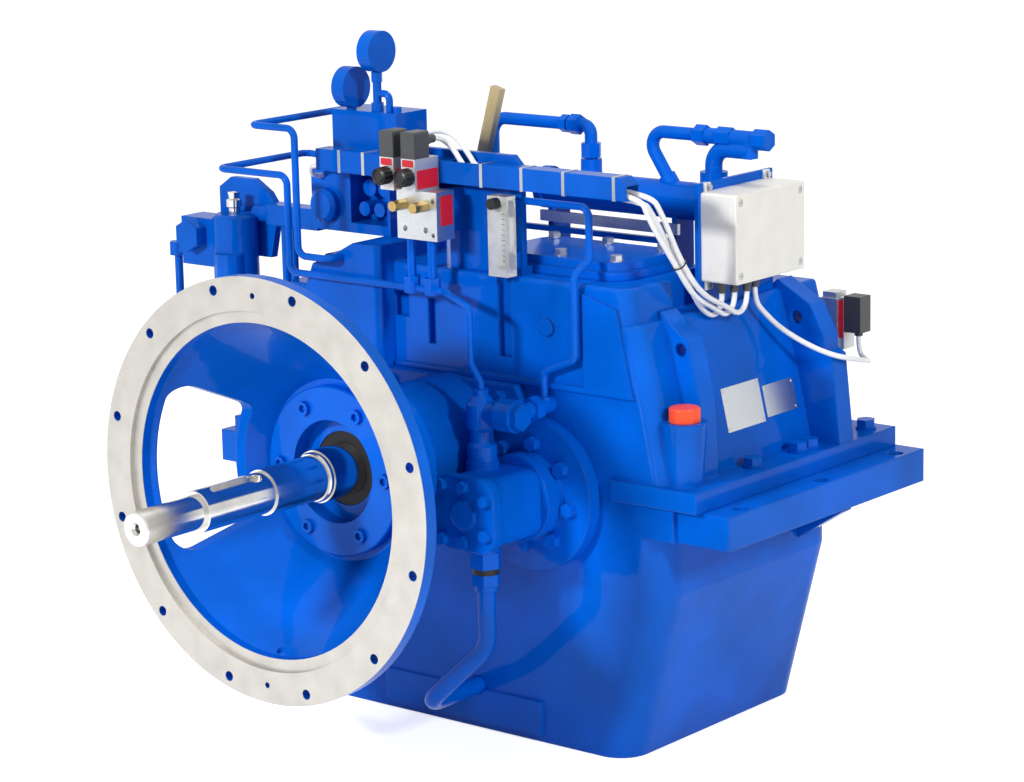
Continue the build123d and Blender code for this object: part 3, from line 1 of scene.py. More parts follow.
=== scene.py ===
# %% [markdown]
# # A marine reversing gearbox, dressed in Blender
#
# The gearbox was first modelled as solids, in millimetres, and packed. This
# file loads those solids, which stay where they are, gives each one its real
# finish, and adds the pieces that are too soft or too small to be worth a
# solid. Every object is in metres, with the centre of the bell's ring at the
# origin, -Y towards the engine and +Z up. The drawing's sizes are written in
# millimetres and multiplied by `mm`.

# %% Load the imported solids
from math import atan, cos, pi, radians, sin

import bpy
from mathutils import Matrix, Vector


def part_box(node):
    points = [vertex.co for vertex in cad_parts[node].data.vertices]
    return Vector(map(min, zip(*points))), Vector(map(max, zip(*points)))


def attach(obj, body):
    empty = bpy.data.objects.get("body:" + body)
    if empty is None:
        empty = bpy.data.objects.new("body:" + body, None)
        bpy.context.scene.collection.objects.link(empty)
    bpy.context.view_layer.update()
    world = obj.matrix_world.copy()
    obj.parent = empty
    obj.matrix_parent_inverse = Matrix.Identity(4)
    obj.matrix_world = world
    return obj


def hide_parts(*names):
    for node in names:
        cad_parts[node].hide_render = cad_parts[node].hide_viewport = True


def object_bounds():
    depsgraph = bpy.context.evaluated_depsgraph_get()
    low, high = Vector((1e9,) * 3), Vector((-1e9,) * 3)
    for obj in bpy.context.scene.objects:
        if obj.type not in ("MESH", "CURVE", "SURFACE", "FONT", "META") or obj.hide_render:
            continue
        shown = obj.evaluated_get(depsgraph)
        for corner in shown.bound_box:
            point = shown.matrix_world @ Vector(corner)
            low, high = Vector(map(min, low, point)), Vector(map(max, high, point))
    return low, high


mm = 0.001
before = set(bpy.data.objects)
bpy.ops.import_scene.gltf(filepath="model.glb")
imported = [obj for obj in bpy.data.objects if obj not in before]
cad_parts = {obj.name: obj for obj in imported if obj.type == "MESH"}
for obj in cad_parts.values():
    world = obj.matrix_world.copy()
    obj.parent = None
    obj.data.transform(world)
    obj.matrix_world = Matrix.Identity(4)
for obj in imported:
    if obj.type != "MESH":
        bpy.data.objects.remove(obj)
solid_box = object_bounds()
bpy.ops.object.select_all(action="DESELECT")


def rounded_corners(box):
    """Both corners of a box, rounded to be printed."""
    return [tuple(round(c, 3) for c in corner) for corner in box]


print("solids:", len(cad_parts), "box:", rounded_corners(solid_box))

# %% [markdown]
# ## The camera
#
# The photograph was taken with a long lens from the front right, a little
# above the shaft. Its place and turn were worked out from the bell's bolt
# circle and the straight edges of the case. The three axes of the camera are
# written as they stand in the gearbox's frame, because that is exact, and
# because a Track To constraint would lose the slight roll.

# %% Place the camera
camera_place = (2.79423, -2.87063, 1.00026)


def camera_turn():
    """The camera's right, up and back axes as the columns of a turn."""
    right = Vector((0.77358, 0.63333, -0.02164))
    up = Vector((-0.11913, 0.17888, 0.97663))
    back = right.cross(up)
    return Matrix((right, up, back)).transposed().to_4x4()


bpy.ops.object.camera_add()
camera = bpy.context.object
camera.name = "studio_camera"
camera.data.lens = 113.335
camera.data.sensor_width = 36
camera.data.clip_end = 30
camera.matrix_world = Matrix.Translation(camera_place) @ camera_turn()
bpy.context.scene.camera = camera

# %% [markdown]
# ## Colours and nodes
#
# Paint makers and picture tools give colours as sRGB hex values, but Blender's
# shaders count in linear light. One function turns the first into the second.
# Another adds one node to a material with its settings and its links, so that
# a material reads from top to bottom like a recipe.

# %% Colour and node helpers


def linear(hex_colour, alpha=1.0):
    """Turn an sRGB hex colour into linear red, green, blue and alpha."""
    channels = [int(hex_colour[i:i + 2], 16) / 255 for i in (1, 3, 5)]
    light = [c / 12.92 if c < 0.04045 else ((c + 0.055) / 1.055) ** 2.4 for c in channels]
    return light + [alpha]


def put(tree, kind, inputs=None, **settings):
    """Add a node, set it, and fill its sockets with values or other outputs."""
    made = tree.nodes.new(kind)
    for name, value in settings.items():
        setattr(made, name, value)
    for socket, value in (inputs or {}).items():
        if isinstance(value, bpy.types.NodeSocket):
            tree.links.new(value, made.inputs[socket])
        else:
            made.inputs[socket].default_value = value
    return made


def new_finish(name, **sockets):
    """Start a material; return it with its nodes, shader and coordinates.

    The shader's values are given by their names in lower case.
    """
    material = bpy.data.materials.new(name)
    material.use_nodes = True
    tree = material.node_tree
    shader = tree.nodes["Principled BSDF"]
    for socket, value in sockets.items():
        title = socket.capitalize().replace("Ior", "IOR")
        shader.inputs[title].default_value = value
    place = tree.nodes.new("ShaderNodeTexCoord").outputs["Object"]
    return material, tree, shader, place


def ramp(tree, value, low, high, dark, light):
    """Map a value between low and high to two colours."""
    made = put(tree, "ShaderNodeValToRGB", {"Fac": value})
    made.color_ramp.elements[0].position = low
    made.color_ramp.elements[0].color = dark
    made.color_ramp.elements[1].position = high
    made.color_ramp.elements[1].color = light
    return made.outputs["Color"]


def bump(tree, height, strength, distance, normal=None):
    """Turn a height into a bent normal, over another normal if one is given."""
    inputs = {"Height": height, "Strength": strength, "Distance": distance}
    if normal is not None:
        inputs["Normal"] = normal
    return put(tree, "ShaderNodeBump", inputs).outputs["Normal"]


# %% [markdown]
# ## Blue enamel on cast iron
#
# The whole gearbox is sprayed with a glossy cobalt enamel after it is put
# together. On the castings the sand of the mould shows through as a fine
# grain, and the paint itself dries in shallow waves, which painters call
# orange peel. Both are bumps, not colours. The colour only varies a little,
# where the film is thicker or thinner. A cast edge is never sharp, and paint
# fills it further. A Bevel node bends the shading round each edge by a few
# millimetres, which catches the lamps along it as on the real castings, and
# leaves the mesh alone.

# %% Blue enamel
enamel_blue = "#0262D6"
enamel_deep = "#0253B4"
peel_spacing = 14 * mm
# sand grain, coarser than real so that it shows at this distance
grain_spacing = 4 * mm
film_depth = 0.8 * mm


def blue_enamel(name, grain_depth, edge, peel_depth=0.35):
    """Enamel over metal: strength of the grain, radius of the edges."""
    material, tree, shader, place = new_finish(name, roughness=0.2, ior=1.08)
    drift = put(tree, "ShaderNodeTexNoise", {"Vector": place, "Scale": 7.0, "Detail": 3.0})
    colour = ramp(tree, drift.outputs["Fac"], 0.35, 0.7, linear(enamel_deep), linear(enamel_blue))
    tree.links.new(colour, shader.inputs["Base Color"])
    rounded = put(tree, "ShaderNodeBevel", {"Radius": edge}, samples=4).outputs["Normal"]
    peel = put(tree, "ShaderNodeTexNoise",
               {"Vector": place, "Scale": 1 / peel_spacing, "Detail": 1.0}).outputs["Fac"]
    waves = bump(tree, peel, peel_depth, film_depth, rounded)
    grain = put(tree, "ShaderNodeTexNoise",
                {"Vector": place, "Scale": 1 / grain_spacing, "Detail": 3.0}).outputs["Fac"]
    tree.links.new(bump(tree, grain, grain_depth, film_depth, waves), shader.inputs["Normal"])
    # the clear top of the paint is smoother than what lies under it
    shader.inputs["Coat Weight"].default_value = 0.17
    shader.inputs["Coat Roughness"].default_value = 0.03
    top = bump(tree, peel, 0.3 * peel_depth, film_depth, rounded)
    tree.links.new(top, shader.inputs["Coat Normal"])
    return material, tree, shader, place


cast_enamel = blue_enamel("blue_enamel_on_cast_iron", 0.22, 4 * mm)[0]
smooth_enamel = blue_enamel("blue_enamel_on_machined_parts", 0.05, 1 * mm, peel_depth=0.2)[0]
print("enamels:", cast_enamel.name, smooth_enamel.name)

# %% [markdown]
# ## The bell: enamel with a bare machined ring
#
# The face of the bell's ring and the shallow recess inside it are turned on a
# lathe after painting, so they are bare iron with very fine circular marks,
# and everything behind them is blue. One solid with two finishes could be
# split, but its mesh has to stay as it is. So the material asks how far
# forward a point lies, and how far from the axis, and mixes the two finishes
# with a sharp edge.

# %% Bell finish
ring_face = 0.8 * mm
recess_floor = 6.8 * mm
recess_radius = 240 * mm
# turning marks, coarser than real so that they show
mark_spacing = 1.2 * mm


def turned_iron(tree, place):
    """Bare grey iron with circular turning marks round the Y axis."""
    iron = put(tree, "ShaderNodeBsdfPrincipled", {"Metallic": 0.8, "Roughness": 0.4})
    flat = put(tree, "ShaderNodeMapping", {"Vector": place, "Scale": (1, 0, 1)}).outputs["Vector"]
    marks = put(tree, "ShaderNodeTexWave",
                {"Vector": flat, "Scale": 1 / (6 * mark_spacing), "Distortion": 0.6, "Detail": 2.0},
                wave_type="RINGS", rings_direction="SPHERICAL")
    mottle = put(tree, "ShaderNodeTexNoise", {"Vector": place, "Scale": 30.0, "Detail": 5.0})
    tone = ramp(tree, mottle.outputs["Fac"], 0.3, 0.7, linear("#B1AEA8"), linear("#BEBBB5"))
    tree.links.new(tone, iron.inputs["Base Color"])
    tree.links.new(bump(tree, marks.outputs["Fac"], 0.15, 0.05 * mm), iron.inputs["Normal"])
    return iron.outputs["BSDF"], flat


def reckon(tree, operation, first, second):
    """One step of arithmetic on two numbers or outputs."""
    step = put(tree, "ShaderNodeMath", {0: first, 1: second}, operation=operation)
    return step.outputs["Value"]


def bell_finish():
    """Rough enamel behind, bare turned iron on the ring's face and in its recess."""
    material, tree, paint, place = blue_enamel("bell_enamel_and_turned_face", 0.5, 3 * mm)
    iron, flat = turned_iron(tree, place)
    depth = put(tree, "ShaderNodeSeparateXYZ", {"Vector": place}).outputs["Y"]
    radius = put(tree, "ShaderNodeVectorMath", {0: flat}, operation="LENGTH").outputs["Value"]
    face = reckon(tree, "LESS_THAN", depth, ring_face)
    shallow = reckon(tree, "LESS_THAN", depth, recess_floor)
    inner = reckon(tree, "LESS_THAN", radius, recess_radius)
    bare = reckon(tree, "MAXIMUM", face, reckon(tree, "MULTIPLY", shallow, inner))
    mix = put(tree, "ShaderNodeMixShader", {"Fac": bare, 1: paint.outputs["BSDF"], 2: iron})
    tree.links.new(mix.outputs["Shader"], tree.nodes["Material Output"].inputs["Surface"])
    return material


bell_paint = bell_finish()
print("bell:", bell_paint.name)

# %% [markdown]
# ## Bare metals
#
# The input shaft is ground and polished steel: bright, with fine marks that
# run round it. Bolts on the top cover are zinc plated, a little duller and
# bluish. The block under the switches is anodised aluminium, the switches
# themselves are die-cast zinc, the needle valves are brass, and the
# thermometer's case is gold anodised.

# %% Metals
metal_grain = 1.5 * mm


def shaded(tree, value, low, high, colour, share):
    """A colour that a value darkens to a share of itself."""
    dark = [c * share for c in linear(colour)[:3]] + [1]
    return ramp(tree, value, low, high, dark, linear(colour))


def turned_metal(name, colour, roughness, spacing, depth):
    """Metal with marks round the Y axis, a given distance apart along it."""
    material, tree, shader, place = new_finish(name, metallic=1.0, roughness=roughness)
    stretched = put(tree, "ShaderNodeMapping", {"Vector": place, "Scale": (0.02, 1, 0.02)})
    marks = put(tree, "ShaderNodeTexNoise",
                {"Vector": stretched.outputs["Vector"], "Scale": 1 / spacing, "Detail": 2.0})
    tree.links.new(bump(tree, marks.outputs["Fac"], depth, 0.05 * mm), shader.inputs["Normal"])
    stain = put(tree, "ShaderNodeTexNoise", {"Vector": place, "Scale": 18.0, "Detail": 4.0})
    tree.links.new(shaded(tree, stain.outputs["Fac"], 0.35, 0.65, colour, 0.75),
                   shader.inputs["Base Color"])
    return material


def plain_metal(name, colour, roughness, depth=0.15):
    """Metal with a fine even grain, as cast, blasted or plated."""
    material, tree, shader, place = new_finish(name, metallic=1.0, roughness=roughness)
    noise = put(tree, "ShaderNodeTexNoise",
                {"Vector": place, "Scale": 1 / metal_grain, "Detail": 3.0})
    tree.links.new(shaded(tree, noise.outputs["Fac"], 0.3, 0.7, colour, 0.8),
                   shader.inputs["Base Color"])
    tree.links.new(bump(tree, noise.outputs["Fac"], depth, 0.1 * mm), shader.inputs["Normal"])
    return material


polished_steel = turned_metal("polished_shaft_steel", "#DEDDDA", 0.14, 0.8 * mm, 0.25)
gear_steel = turned_metal("ground_gear_steel", "#9C9C9E", 0.35, 1.0 * mm, 0.3)
zinc = plain_metal("zinc_plated_steel", "#C6CACC", 0.3)
aluminium = plain_metal("anodised_aluminium", "#D6DADD", 0.34, depth=0.05)
die_cast = plain_metal("blasted_die_cast_zinc", "#CFD1D3", 0.5, depth=0.1)
brass = plain_metal("turned_brass", "#C8AB6C", 0.25, depth=0.05)
gold_anodised = plain_metal("gold_anodised_aluminium", "#BFAE86", 0.34, depth=0.05)
print("metals:", polished_steel.name, zinc.name, aluminium.name)

# %% [markdown]
# ## Plastics, rubber and glass
#
# The junction box and the cables are moulded, with a very fine grain and soft
# highlights. The connector plugs are dark grey nylon, the filler cap is
# orange, and the seals are black rubber. The flow indicator is a clear
# acrylic block with a faint yellow tint, and the gauges have lenses of it.

# %% Plastics
plastic_grain = 1.0 * mm
plastic_edge = 0.8 * mm


def moulded(name, colour, roughness):
    """Moulded plastic or rubber with a slight grain and an uneven tone."""
    material, tree, shader, place = new_finish(name, roughness=roughness, ior=1.45)
    tone = put(tree, "ShaderNodeTexNoise", {"Vector": place, "Scale": 25.0, "Detail": 2.0})
    tree.links.new(shaded(tree, tone.outputs["Fac"], 0.3, 0.7, colour, 0.92),
                   shader.inputs["Base Color"])
    rounded = put(tree, "ShaderNodeBevel", {"Radius": plastic_edge}, samples=4).outputs["Normal"]
    noise = put(tree, "ShaderNodeTexNoise",
                {"Vector": place, "Scale": 1 / plastic_grain, "Detail": 2.0})
    skin = bump(tree, noise.outputs["Fac"], 0.08, 0.1 * mm, rounded)
    tree.links.new(skin, shader.inputs["Normal"])
    return material


ivory_box = moulded("ivory_box_plastic", "#E9E7DF", 0.38)
white_sheath = moulded("white_cable_sheath", "#E9EAEB", 0.34)
orange_cap = moulded("orange_cap_plastic", "#FB4F20", 0.42)
grey_nylon = moulded("grey_plug_nylon", "#424346", 0.45)
black_nylon = moulded("black_nylon", "#141416", 0.38)
red_plastic = moulded("red_label_plastic", "#CF1A28", 0.35)
black_rubber = moulded("black_seal_rubber", "#0E0E0F", 0.6)
dial_card = moulded("white_dial_card", "#ECECE8", 0.5)


def clear_acrylic():
    """Clear acrylic with a faint yellow tint, polished on all sides."""
    material, tree, shader, place = new_finish("clear_acrylic", roughness=0.05, ior=1.49)
    shader.inputs["Transmission Weight"].default_value = 0.6
    haze = put(tree, "ShaderNodeTexNoise", {"Vector": place, "Scale": 60.0})
    tree.links.new(ramp(tree, haze.outputs["Fac"], 0.3, 0.7, linear("#F0F0E2"), linear("#FAFAF6")),
                   shader.inputs["Base Color"])
    return material


acrylic = clear_acrylic()
print("plastics:", ivory_box.name, orange_cap.name, acrylic.name)

# %% [markdown]
# ## Giving each solid its finish
#
# A solid that came from the CAD model keeps its mesh. Only its material slot
# is changed, so one table from finish to names is enough.

# %% Dress the solids


def dress(finish, *names):
    """Give solids one finish."""
    for name in names:
        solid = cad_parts[name]
        solid.data.materials.clear()
        solid.data.materials.append(finish)


dress(bell_paint, "bell_housing")
dress(cast_enamel, "upper_case", "lower_case", "pump_adapter", "pump_body", "mount_bar_right",
      "mount_bar_left", "rear_bearing_covers", "inspection_cover", "strainer")
dress(smooth_enamel, "bearing_retainer", "retainer_screws", "case_bolts", "flange_bolts",
      "pump_valve", "suction_fitting", "suction_pipe", "bracket_plate", "cable_duct",
      "control_valve", "gauge_fittings", "pressure_gauges", "oil_cooler", "deck_brackets",
      "cooler_pipes", "control_pipes")
dress(polished_steel, "input_shaft", "output_shaft", "strainer_knob")
dress(gear_steel, "input_gear", "ahead_clutch", "ahead_pinion", "lay_shaft", "lay_gear",
      "astern_clutch", "astern_pinion", "output_wheel", "shaft_bearings")
dress(zinc, "cover_screws", "duct_bands")
dress(aluminium, "test_block", "cooler_rail", "name_plates")
dress(brass, "left_needle_valve", "right_needle_valve", "flow_float")
dress(gold_anodised, "thermometer")
dress(ivory_box, "junction_box", "junction_box_lid")
dress(orange_cap, "filler_cap")
dress(grey_nylon, "plugs_and_glands")
dress(black_nylon, "glass_knob", "upper_gauge_pointer", "lower_gauge_pointer")
dress(die_cast, "pressure_switches")
dress(black_rubber, "shaft_seals")
dress(acrylic, "sight_glass", "gauge_lenses")

# %% [markdown]
# ## The cables
#
# Three white cables run from the control valve and the two switches through
# the duct, hang in a loose loop, and rise into the box's glands. A fourth
# goes from the box round the rear rib to the switch behind it. A tube along
# straight runs and arcs would look like bent wire. A NURBS curve drawn by the
# same points sags and turns smoothly, and a round bevel gives it its sheath.
# The points are in millimetres.

# %% Cables
sheath_radius = 3.7 * mm
loop_to_box = [
    [(322.7, 386, 357.1), (331.7, 402.5, 329.3), (332.7, 443.1, 269.4), (329.6, 488.1, 215.4),
     (323, 515, 190), (323, 542, 174), (323, 562, 186), (323, 562, 204)],
    [(327, 378.2, 363.5), (336, 387.2, 325.5), (337, 436.9, 265.3), (336, 481.9, 211.3),
     (332, 531, 190), (332, 558, 174), (332, 578, 186), (332, 578, 204)],
    [(331.3, 393.8, 363.5), (340.3, 410.3, 329.3), (341.3, 443.1, 269.4), (342.5, 488.1, 215.4),
     (341, 547, 190), (341, 574, 174), (341, 594, 186), (341, 594, 204)],
]
from_valve = [(-263, 420, 335), (-263, 404, 335), (-258, 391, 348), (-243, 386, 357.1)]
from_second_switch = [(-16, 374, 410), (-16, 388, 410), (2, 392, 398), (26, 381.2, 381.5),
                      (44, 378.2, 363.5)]
from_first_switch = [(-54, 374, 410), (-54, 391, 410), (-32, 401, 417), (-2, 400, 414),
                     (28, 392.8, 393.5), (50, 393.2, 363.5)]
to_rear_switch = [
    (332, 625, 204), (332, 625, 184), (338, 640, 165), (350, 659, 143), (368, 680, 124),
    (388, 697, 110), (407, 712, 101), (416, 735, 95), (415, 762, 88), (408, 788, 82),
    (394, 810, 76), (376, 819, 79), (371, 819, 92), (371, 819, 108),
]


def cable(name, points, node):
    """A white cable on one NURBS curve, in place of a solid node."""
    curve = bpy.data.curves.new(name, "CURVE")
    curve.dimensions = "3D"
    curve.bevel_depth = sheath_radius
    curve.bevel_resolution = 4
    line = curve.splines.new("NURBS")
    line.points.add(len(points) - 1)
    for control, point in zip(line.points, points):
        control.co = (*[c * mm for c in point], 1)
    line.order_u = 3
    line.use_endpoint_u = True
    line.resolution_u = 10
    made = bpy.data.objects.new(name, curve)
    bpy.context.collection.objects.link(made)
    curve.materials.append(white_sheath)
    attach(made, "case")
    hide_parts(node)
    return made


leads = [from_valve, from_second_switch, from_first_switch]
for number, (lead, loop) in enumerate(zip(leads, loop_to_box), 1):
    cable(f"cable_{number}", lead + loop, "switch_cables")
cable("cable_to_rear_switch", to_rear_switch, "rear_switch_cable")

# %% [markdown]
# ## Helpers for modelled pieces
#
# The small pieces below start as primitives and are shaped in edit mode. The
# operators act on what is selected, so one helper selects faces or edges by
# a test of their place or direction, and another ends each piece in the same
# way: its place goes into its mesh, and it gets its finish and its body.

# %% Modelling helpers


def choose(piece, kind, test):
    """Select the faces or the edges of a mesh that pass a test, and stay in edit mode."""
    bpy.ops.object.mode_set(mode="EDIT")
    bpy.ops.mesh.select_mode(type=kind)
    bpy.ops.mesh.select_all(action="DESELECT")
    bpy.ops.object.mode_set(mode="OBJECT")
    for part in (piece.data.polygons if kind == "FACE" else piece.data.edges):
        part.select = test(part)
    bpy.ops.object.mode_set(mode="EDIT")


def along(piece, edge, axis):
    """How closely an edge follows an axis, from 0 to 1."""
    first, second = [piece.data.vertices[v].co for v in edge.vertices]
    return abs((second - first).normalized()[axis])


def hand_over(piece, name, finish):
    """Put the piece's place in its mesh, give it its finish, and fix it to the case."""
    if bpy.context.mode != "OBJECT":
        bpy.ops.object.mode_set(mode="OBJECT")
    piece.name = name
    bpy.ops.object.transform_apply(location=True, rotation=True, scale=True)
    piece.data.materials.clear()
    piece.data.materials.append(finish)
    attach(piece, "case")
    bpy.ops.object.select_all(action="DESELECT")
    return piece


def copies_of(piece, moves):
    """Copy a piece once for each move, each with its own mesh, and join them all with it."""
    bpy.ops.object.select_all(action="DESELECT")
    for move in moves:
        twin = piece.copy()
        twin.data = piece.data.copy()
        twin.data.transform(move)
        bpy.context.collection.objects.link(twin)
        twin.select_set(True)
    piece.select_set(True)
    bpy.context.view_layer.objects.active = piece
    bpy.ops.object.join()
    bpy.ops.object.select_all(action="DESELECT")
    return piece


# %% [markdown]
# ## Labels on the switches
#
# The switches and the block under them carry plain red plates. Such a plate
# is a thin moulding with round corners and a low rim. It starts as a cube
# pressed flat, its four short edges are bevelled, and its face is inset and
# pushed in. Places and sizes are given in millimetres.

# %% Red plates
plate_thickness = 1.2 * mm
plate_corner = 1.5 * mm
plate_rim = 1.0 * mm
plate_sink = 0.3 * mm
switch_places = (-54, -16)


def red_plate(name, centre, width, height, turn=0.0):
    """A thin bare plate that faces +X, or is turned about Z from there."""
    bpy.ops.mesh.primitive_cube_add(size=1, location=[c * mm for c in centre])
    plate = bpy.context.object
    plate.scale = (plate_thickness, width * mm, height * mm)
    bpy.ops.object.transform_apply(location=False, rotation=False, scale=True)
    choose(plate, "EDGE", lambda edge: along(plate, edge, 0) > 0.9)
    bpy.ops.mesh.bevel(offset=plate_corner, segments=3)
    choose(plate, "FACE", lambda face: face.normal.x > 0.9)
    bpy.ops.mesh.inset(thickness=plate_rim)
    bpy.ops.transform.translate(value=(-plate_sink, 0, 0))
    bpy.ops.object.mode_set(mode="OBJECT")
    plate.rotation_euler.z = turn
    return hand_over(plate, name, red_plastic)


for number, x in enumerate(switch_places, 1):
    red_plate(f"switch_side_plate_{number}", (x + 12.3, 347, 360), 42, 25)
    red_plate(f"switch_front_plate_{number}", (x, 321.7, 382), 19, 9, turn=-pi / 2)
red_plate("test_block_plate", (22.3, 354, 318), 24, 40)
red_plate("rear_switch_plate", (352.5, 802.6, 132), 7.5, 54, turn=-pi / 2)

# %% [markdown]
# ## Knobs of the switches
#
# Each switch has a round black adjusting knob on its front. It is a cylinder
# whose every other side face is inset and pushed out as a grip, and whose
# front is inset twice into a dish with a raised centre.

# %% Switch knobs
knob_radius = 11.4 * mm
knob_length = 17.0 * mm
knob_y = 313.4 * mm
knob_z = 364 * mm
grip_height = 0.8 * mm


def is_knob_front(face):
    """Whether a face is the knob's large round front."""
    return face.normal.y < -0.9 and face.area > 100 * mm * mm


def switch_knob(name, x):
    """A black ribbed knob over the switch's spindle, facing -Y."""
    bpy.ops.mesh.primitive_cylinder_add(vertices=28, radius=knob_radius, depth=knob_length,
                                        location=(x, knob_y, knob_z), rotation=(pi / 2, 0, 0))
    knob = bpy.context.object
    bpy.ops.object.transform_apply(location=True, rotation=True, scale=True)
    choose(knob, "FACE", lambda face: abs(face.normal.y) < 0.5 and face.index % 2 == 0)
    bpy.ops.mesh.inset(thickness=0.4 * mm, use_individual=True)
    bpy.ops.transform.shrink_fatten(value=grip_height)
    choose(knob, "FACE", is_knob_front)
    for step, push in ((2.2 * mm, 1.6 * mm), (3.0 * mm, -1.2 * mm)):
        bpy.ops.mesh.inset(thickness=step)
        bpy.ops.transform.translate(value=(0, push, 0))
    return hand_over(knob, name, black_nylon)


for number, x in enumerate(switch_places, 1):
    made = switch_knob(f"switch_knob_{number}", x * mm)
    print(made.name, len(made.data.polygons), "faces")

# %% [markdown]
# ## Dials
#
# The two gauges face away from the camera, but a view from the left shows
# their dials. A dial is a printed card with a low rim, and its scale starts
# where the pointer rests and follows its turn of 270 degrees. One tick is
# modelled and the others are turned copies of it.

# %% Gauge dials
dial_y = 432 * mm
card_radius = 25.2 * mm
card_thickness = 0.6 * mm
tick_radius = 20.5 * mm
tick_size = (0.3 * mm, 1.1 * mm, 4.5 * mm)
tick_count = 11
full_turn = radians(270)


def dial(name, x, z):
    """The card of a gauge that faces -X, and its ticks."""
    centre = Vector((x, dial_y, z))
    bpy.ops.mesh.primitive_cylinder_add(vertices=64, radius=card_radius, depth=card_thickness,
                                        location=centre, rotation=(0, pi / 2, 0))
    card = bpy.context.object
    bpy.ops.object.transform_apply(location=True, rotation=True, scale=True)
    choose(card, "FACE", lambda face: face.normal.x < -0.9)
    bpy.ops.mesh.inset(thickness=1.2 * mm)
    bpy.ops.transform.translate(value=(0.25 * mm, 0, 0))
    hand_over(card, f"{name}_card", dial_card)
    first_place = centre + Vector((-0.2 * mm, 0, -tick_radius))
    bpy.ops.mesh.primitive_cube_add(size=1, location=first_place)
    tick = bpy.context.object
    tick.scale = tick_size
    bpy.ops.object.transform_apply(location=True, rotation=True, scale=True)
    choose(tick, "FACE", lambda face: face.normal.z > 0.9)
    bpy.ops.transform.resize(value=(1, 0.5, 1))
    hand_over(tick, f"{name}_ticks", black_nylon)
    there = Matrix.Translation(centre)
    step = full_turn / (tick_count - 1)
    return copies_of(tick, [there @ Matrix.Rotation(-step * number, 4, "X") @ there.inverted()
                            for number in range(1, tick_count)])


for name, x, z in (("upper_dial", -167.5, 513), ("lower_dial", -216.5, 461)):
    ticks = dial(name, x * mm, z * mm)
    print(ticks.name, len(ticks.data.polygons), "faces")

# %% [markdown]
# ## Seals and a tie
#
# A black ring seals the union under the pump, a black tie holds the three
# cables together, and a black collar closes the foot of the thermometer.
# Ring and collar are short cylinders whose flat faces are inset and drawn out
# into a soft edge. The tie is a torus with a stub where its lock sits.

# %% Ring of the suction union


def seal(name, finish, place, radius, height, corners, edge, swell):
    """A round seal about the Z axis: its edge is inset and swells out along Z."""
    bpy.ops.mesh.primitive_cylinder_add(vertices=corners, radius=radius, depth=height,
                                        location=place)
    ring = bpy.context.object
    choose(ring, "FACE", lambda face: abs(face.normal.z) > 0.9)
    bpy.ops.mesh.inset(thickness=edge)
    bpy.ops.transform.resize(value=(1, 1, swell))
    return hand_over(ring, name, finish)


union_low, union_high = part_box("suction_fitting")
union_axis = (union_low + union_high) / 2
ring_place = (union_axis.x, union_axis.y, union_high.z - 38 * mm)
ring = seal("union_seal_ring", black_rubber, ring_place, radius=18.4 * mm,
            height=7.6 * mm, corners=48, edge=1.6 * mm, swell=1.25)
print("ring:", len(ring.data.polygons), "faces")

# %% Cable tie
tie_radius = 9.4 * mm
tie_place = (337 * mm, 448 * mm, 261.5 * mm)
# the tie lies square to the cables, which come down at this slope
cable_slope = 0.695
bpy.ops.mesh.primitive_torus_add(major_segments=40, minor_segments=8, major_radius=tie_radius,
                                 minor_radius=1.0 * mm, location=tie_place,
                                 rotation=(cable_slope, 0, 0))
tie = bpy.context.object
choose(tie, "FACE", lambda face: face.center.y < -9.3 * mm and abs(face.center.x) < 2 * mm)
bpy.ops.mesh.extrude_region_move(TRANSFORM_OT_translate={"value": (0, -2.5 * mm, 0)})
hand_over(tie, "cable_tie", black_nylon)
print("tie:", len(tie.data.polygons), "faces")

# %% Collar of the thermometer
collar_place = (-9 * mm, 470 * mm, 372 * mm)
collar = seal("thermometer_collar", black_nylon, collar_place,
              radius=14.2 * mm, height=7 * mm, corners=32, edge=1.5 * mm, swell=1.3)
print("collar:", len(collar.data.polygons), "faces")

# %% [markdown]
# ## Rivets and scale
#
# Rivets hold the two bare plates on the side wall, which leans in towards
# the top, and the flow indicator has a scale beside its bore. Of each, one
# piece is modelled and copied along.

# %% Rivets of the two plates
wall_low, wall_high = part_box("name_plates")
wall_lean = atan((wall_high.x - wall_low.x) / (wall_high.z - wall_low.z))
rivet_radius = 1.9 * mm
rivet_inset = 4 * mm
# each plate from front to rear and from bottom to top
plate_edges = ((532 * mm, 618 * mm, 22 * mm, 80 * mm), (624 * mm, 696 * mm, 26 * mm, 68 * mm))


def on_the_wall(y, z):
    """A point on the plates' face at a height in metres."""
    up = (z - wall_low.z) / (wall_high.z - wall_low.z)
    return Vector((wall_high.x - up * (wall_high.x - wall_low.x - 1 * mm), y, z))


rivet_places = [on_the_wall(y, z) for front, rear, bottom, top in plate_edges
                for y in (front + rivet_inset, rear - rivet_inset)
                for z in (bottom + rivet_inset, top - rivet_inset)]
bpy.ops.mesh.primitive_cylinder_add(vertices=20, radius=rivet_radius, depth=1.6 * mm,
                                    location=rivet_places[0], rotation=(0, pi / 2 - wall_lean, 0))
rivet = bpy.context.object
choose(rivet, "FACE", lambda face: face.normal.z > 0.9)
bpy.ops.mesh.inset(thickness=0.7 * mm)
bpy.ops.transform.translate(value=(0.4 * mm * cos(wall_lean), 0, 0.4 * mm * sin(wall_lean)))
hand_over(rivet, "plate_rivets", zinc)
copies_of(rivet, [Matrix.Translation(place - rivet_places[0]) for place in rivet_places[1:]])
print("rivets:", len(rivet_places), "wall leans", round(wall_lean, 3), "rad")

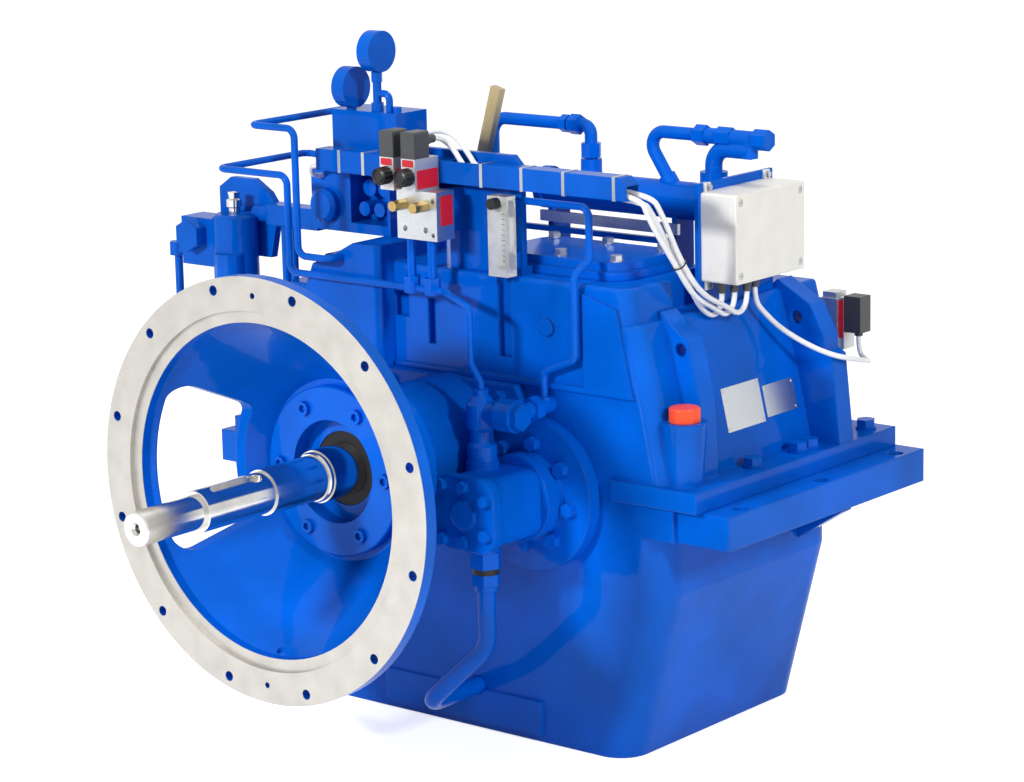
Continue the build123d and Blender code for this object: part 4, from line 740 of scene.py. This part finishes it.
# %% Scale of the flow indicator
glass_low, glass_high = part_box("sight_glass")
mark_size = (6 * mm, 0.4 * mm, 0.8 * mm)
mark_step = 7 * mm
mark_count = 10
first_mark = (glass_high.x - 6 * mm, glass_low.y - 0.1 * mm, glass_low.z + 22 * mm)
bpy.ops.mesh.primitive_cube_add(size=1, location=first_mark)
mark = bpy.context.object
mark.scale = mark_size
bpy.ops.object.transform_apply(location=False, rotation=False, scale=True)
choose(mark, "FACE", lambda face: face.normal.x < -0.9)
bpy.ops.transform.resize(value=(1, 1, 0.5))
hand_over(mark, "flow_scale", black_nylon)
copies_of(mark, [Matrix.Translation((0, 0, mark_step * step)) for step in range(1, mark_count)])
print("marks:", mark_count, "from", round(first_mark[2], 3), "m upwards")

# %% [markdown]
# ## Floor and light
#
# The photograph is a product shot on white. A pale floor takes a soft shadow
# under the sump. It glows just enough for the camera, and for what shines,
# to read as white, and gives no light to the object. The sky does the same.
# The object itself is lit by a pale sky and three lamps of half a metre or
# so. Enamel shows lamps of that size as crisp glints along its edges.

# %% Floor
sky_fill = 0.34
floor_gap = 0.5 * mm
bpy.ops.mesh.primitive_plane_add(size=60, location=(0, 0, solid_box[0].z - floor_gap))
floor = bpy.context.object
floor.name = "studio_floor"


def seen_or_shown(tree):
    """1 for rays from the camera, straight or by way of something shiny or clear."""
    path = put(tree, "ShaderNodeLightPath").outputs
    shown = reckon(tree, "MAXIMUM", path["Is Glossy Ray"], path["Is Transmission Ray"])
    return reckon(tree, "MAXIMUM", path["Is Camera Ray"], shown)


def between(tree, value, low, high):
    """A number that goes from low to high as a value goes from 0 to 1."""
    made = put(tree, "ShaderNodeMapRange", {"Value": value, "To Min": low, "To Max": high})
    return made.outputs["Result"]


def floor_finish():
    """Pale floor that keeps the shadow and reads as white."""
    material, tree, shader, place = new_finish("pale_floor", roughness=0.9)
    speckle = put(tree, "ShaderNodeTexNoise", {"Vector": place, "Scale": 3.0})
    pale = ramp(tree, speckle.outputs["Fac"], 0.3, 0.7, linear("#F6F6F6"), linear("#FAFAFA"))
    tree.links.new(pale, shader.inputs["Base Color"])
    shader.inputs["Emission Color"].default_value = (1, 1, 1, 1)
    # the glow makes up what the sky's fill leaves short of white
    glow = between(tree, seen_or_shown(tree), 0.0, 1.02 - sky_fill)
    tree.links.new(glow, shader.inputs["Emission Strength"])
    return material


floor.data.materials.append(floor_finish())
print("floor at", round(floor.location.z, 4), "m")

# %% Light
world = bpy.data.worlds.new("studio_world")
bpy.context.scene.world = world
world.use_nodes = True
sky = world.node_tree
backdrop = sky.nodes["Background"]
backdrop.inputs["Color"].default_value = (1, 1, 1, 1)
sky.links.new(between(sky, seen_or_shown(sky), sky_fill, 1.0), backdrop.inputs["Strength"])


def softbox(name, place, target, width, height, watts):
    """A rectangular lamp that faces a point."""
    bpy.ops.object.light_add(type="AREA", location=place)
    lamp = bpy.context.object
    lamp.name = name
    lamp.data.shape = "RECTANGLE"
    lamp.data.size = width
    lamp.data.size_y = height
    lamp.data.energy = watts
    aim = Vector(target) - Vector(place)
    lamp.rotation_euler = aim.to_track_quat("-Z", "Y").to_euler()
    return lamp


lamps = [
    softbox("key_softbox", (-0.4, -3.3, 1.7), (0, 0.2, 0), width=0.6, height=0.35, watts=115),
    softbox("side_softbox", (3.4, -0.3, 1.7), (0.2, 0.5, 0), width=0.3, height=0.6, watts=58),
    softbox("top_softbox", (0.3, 1.4, 3.2), (0.1, 0.5, 0), width=0.5, height=0.5, watts=30),
]
bpy.context.scene.view_settings.view_transform = "Standard"
print("lamps:", [lamp.name for lamp in lamps])

# %% [markdown]
# Nothing that Blender adds may make the gearbox larger than its solids.
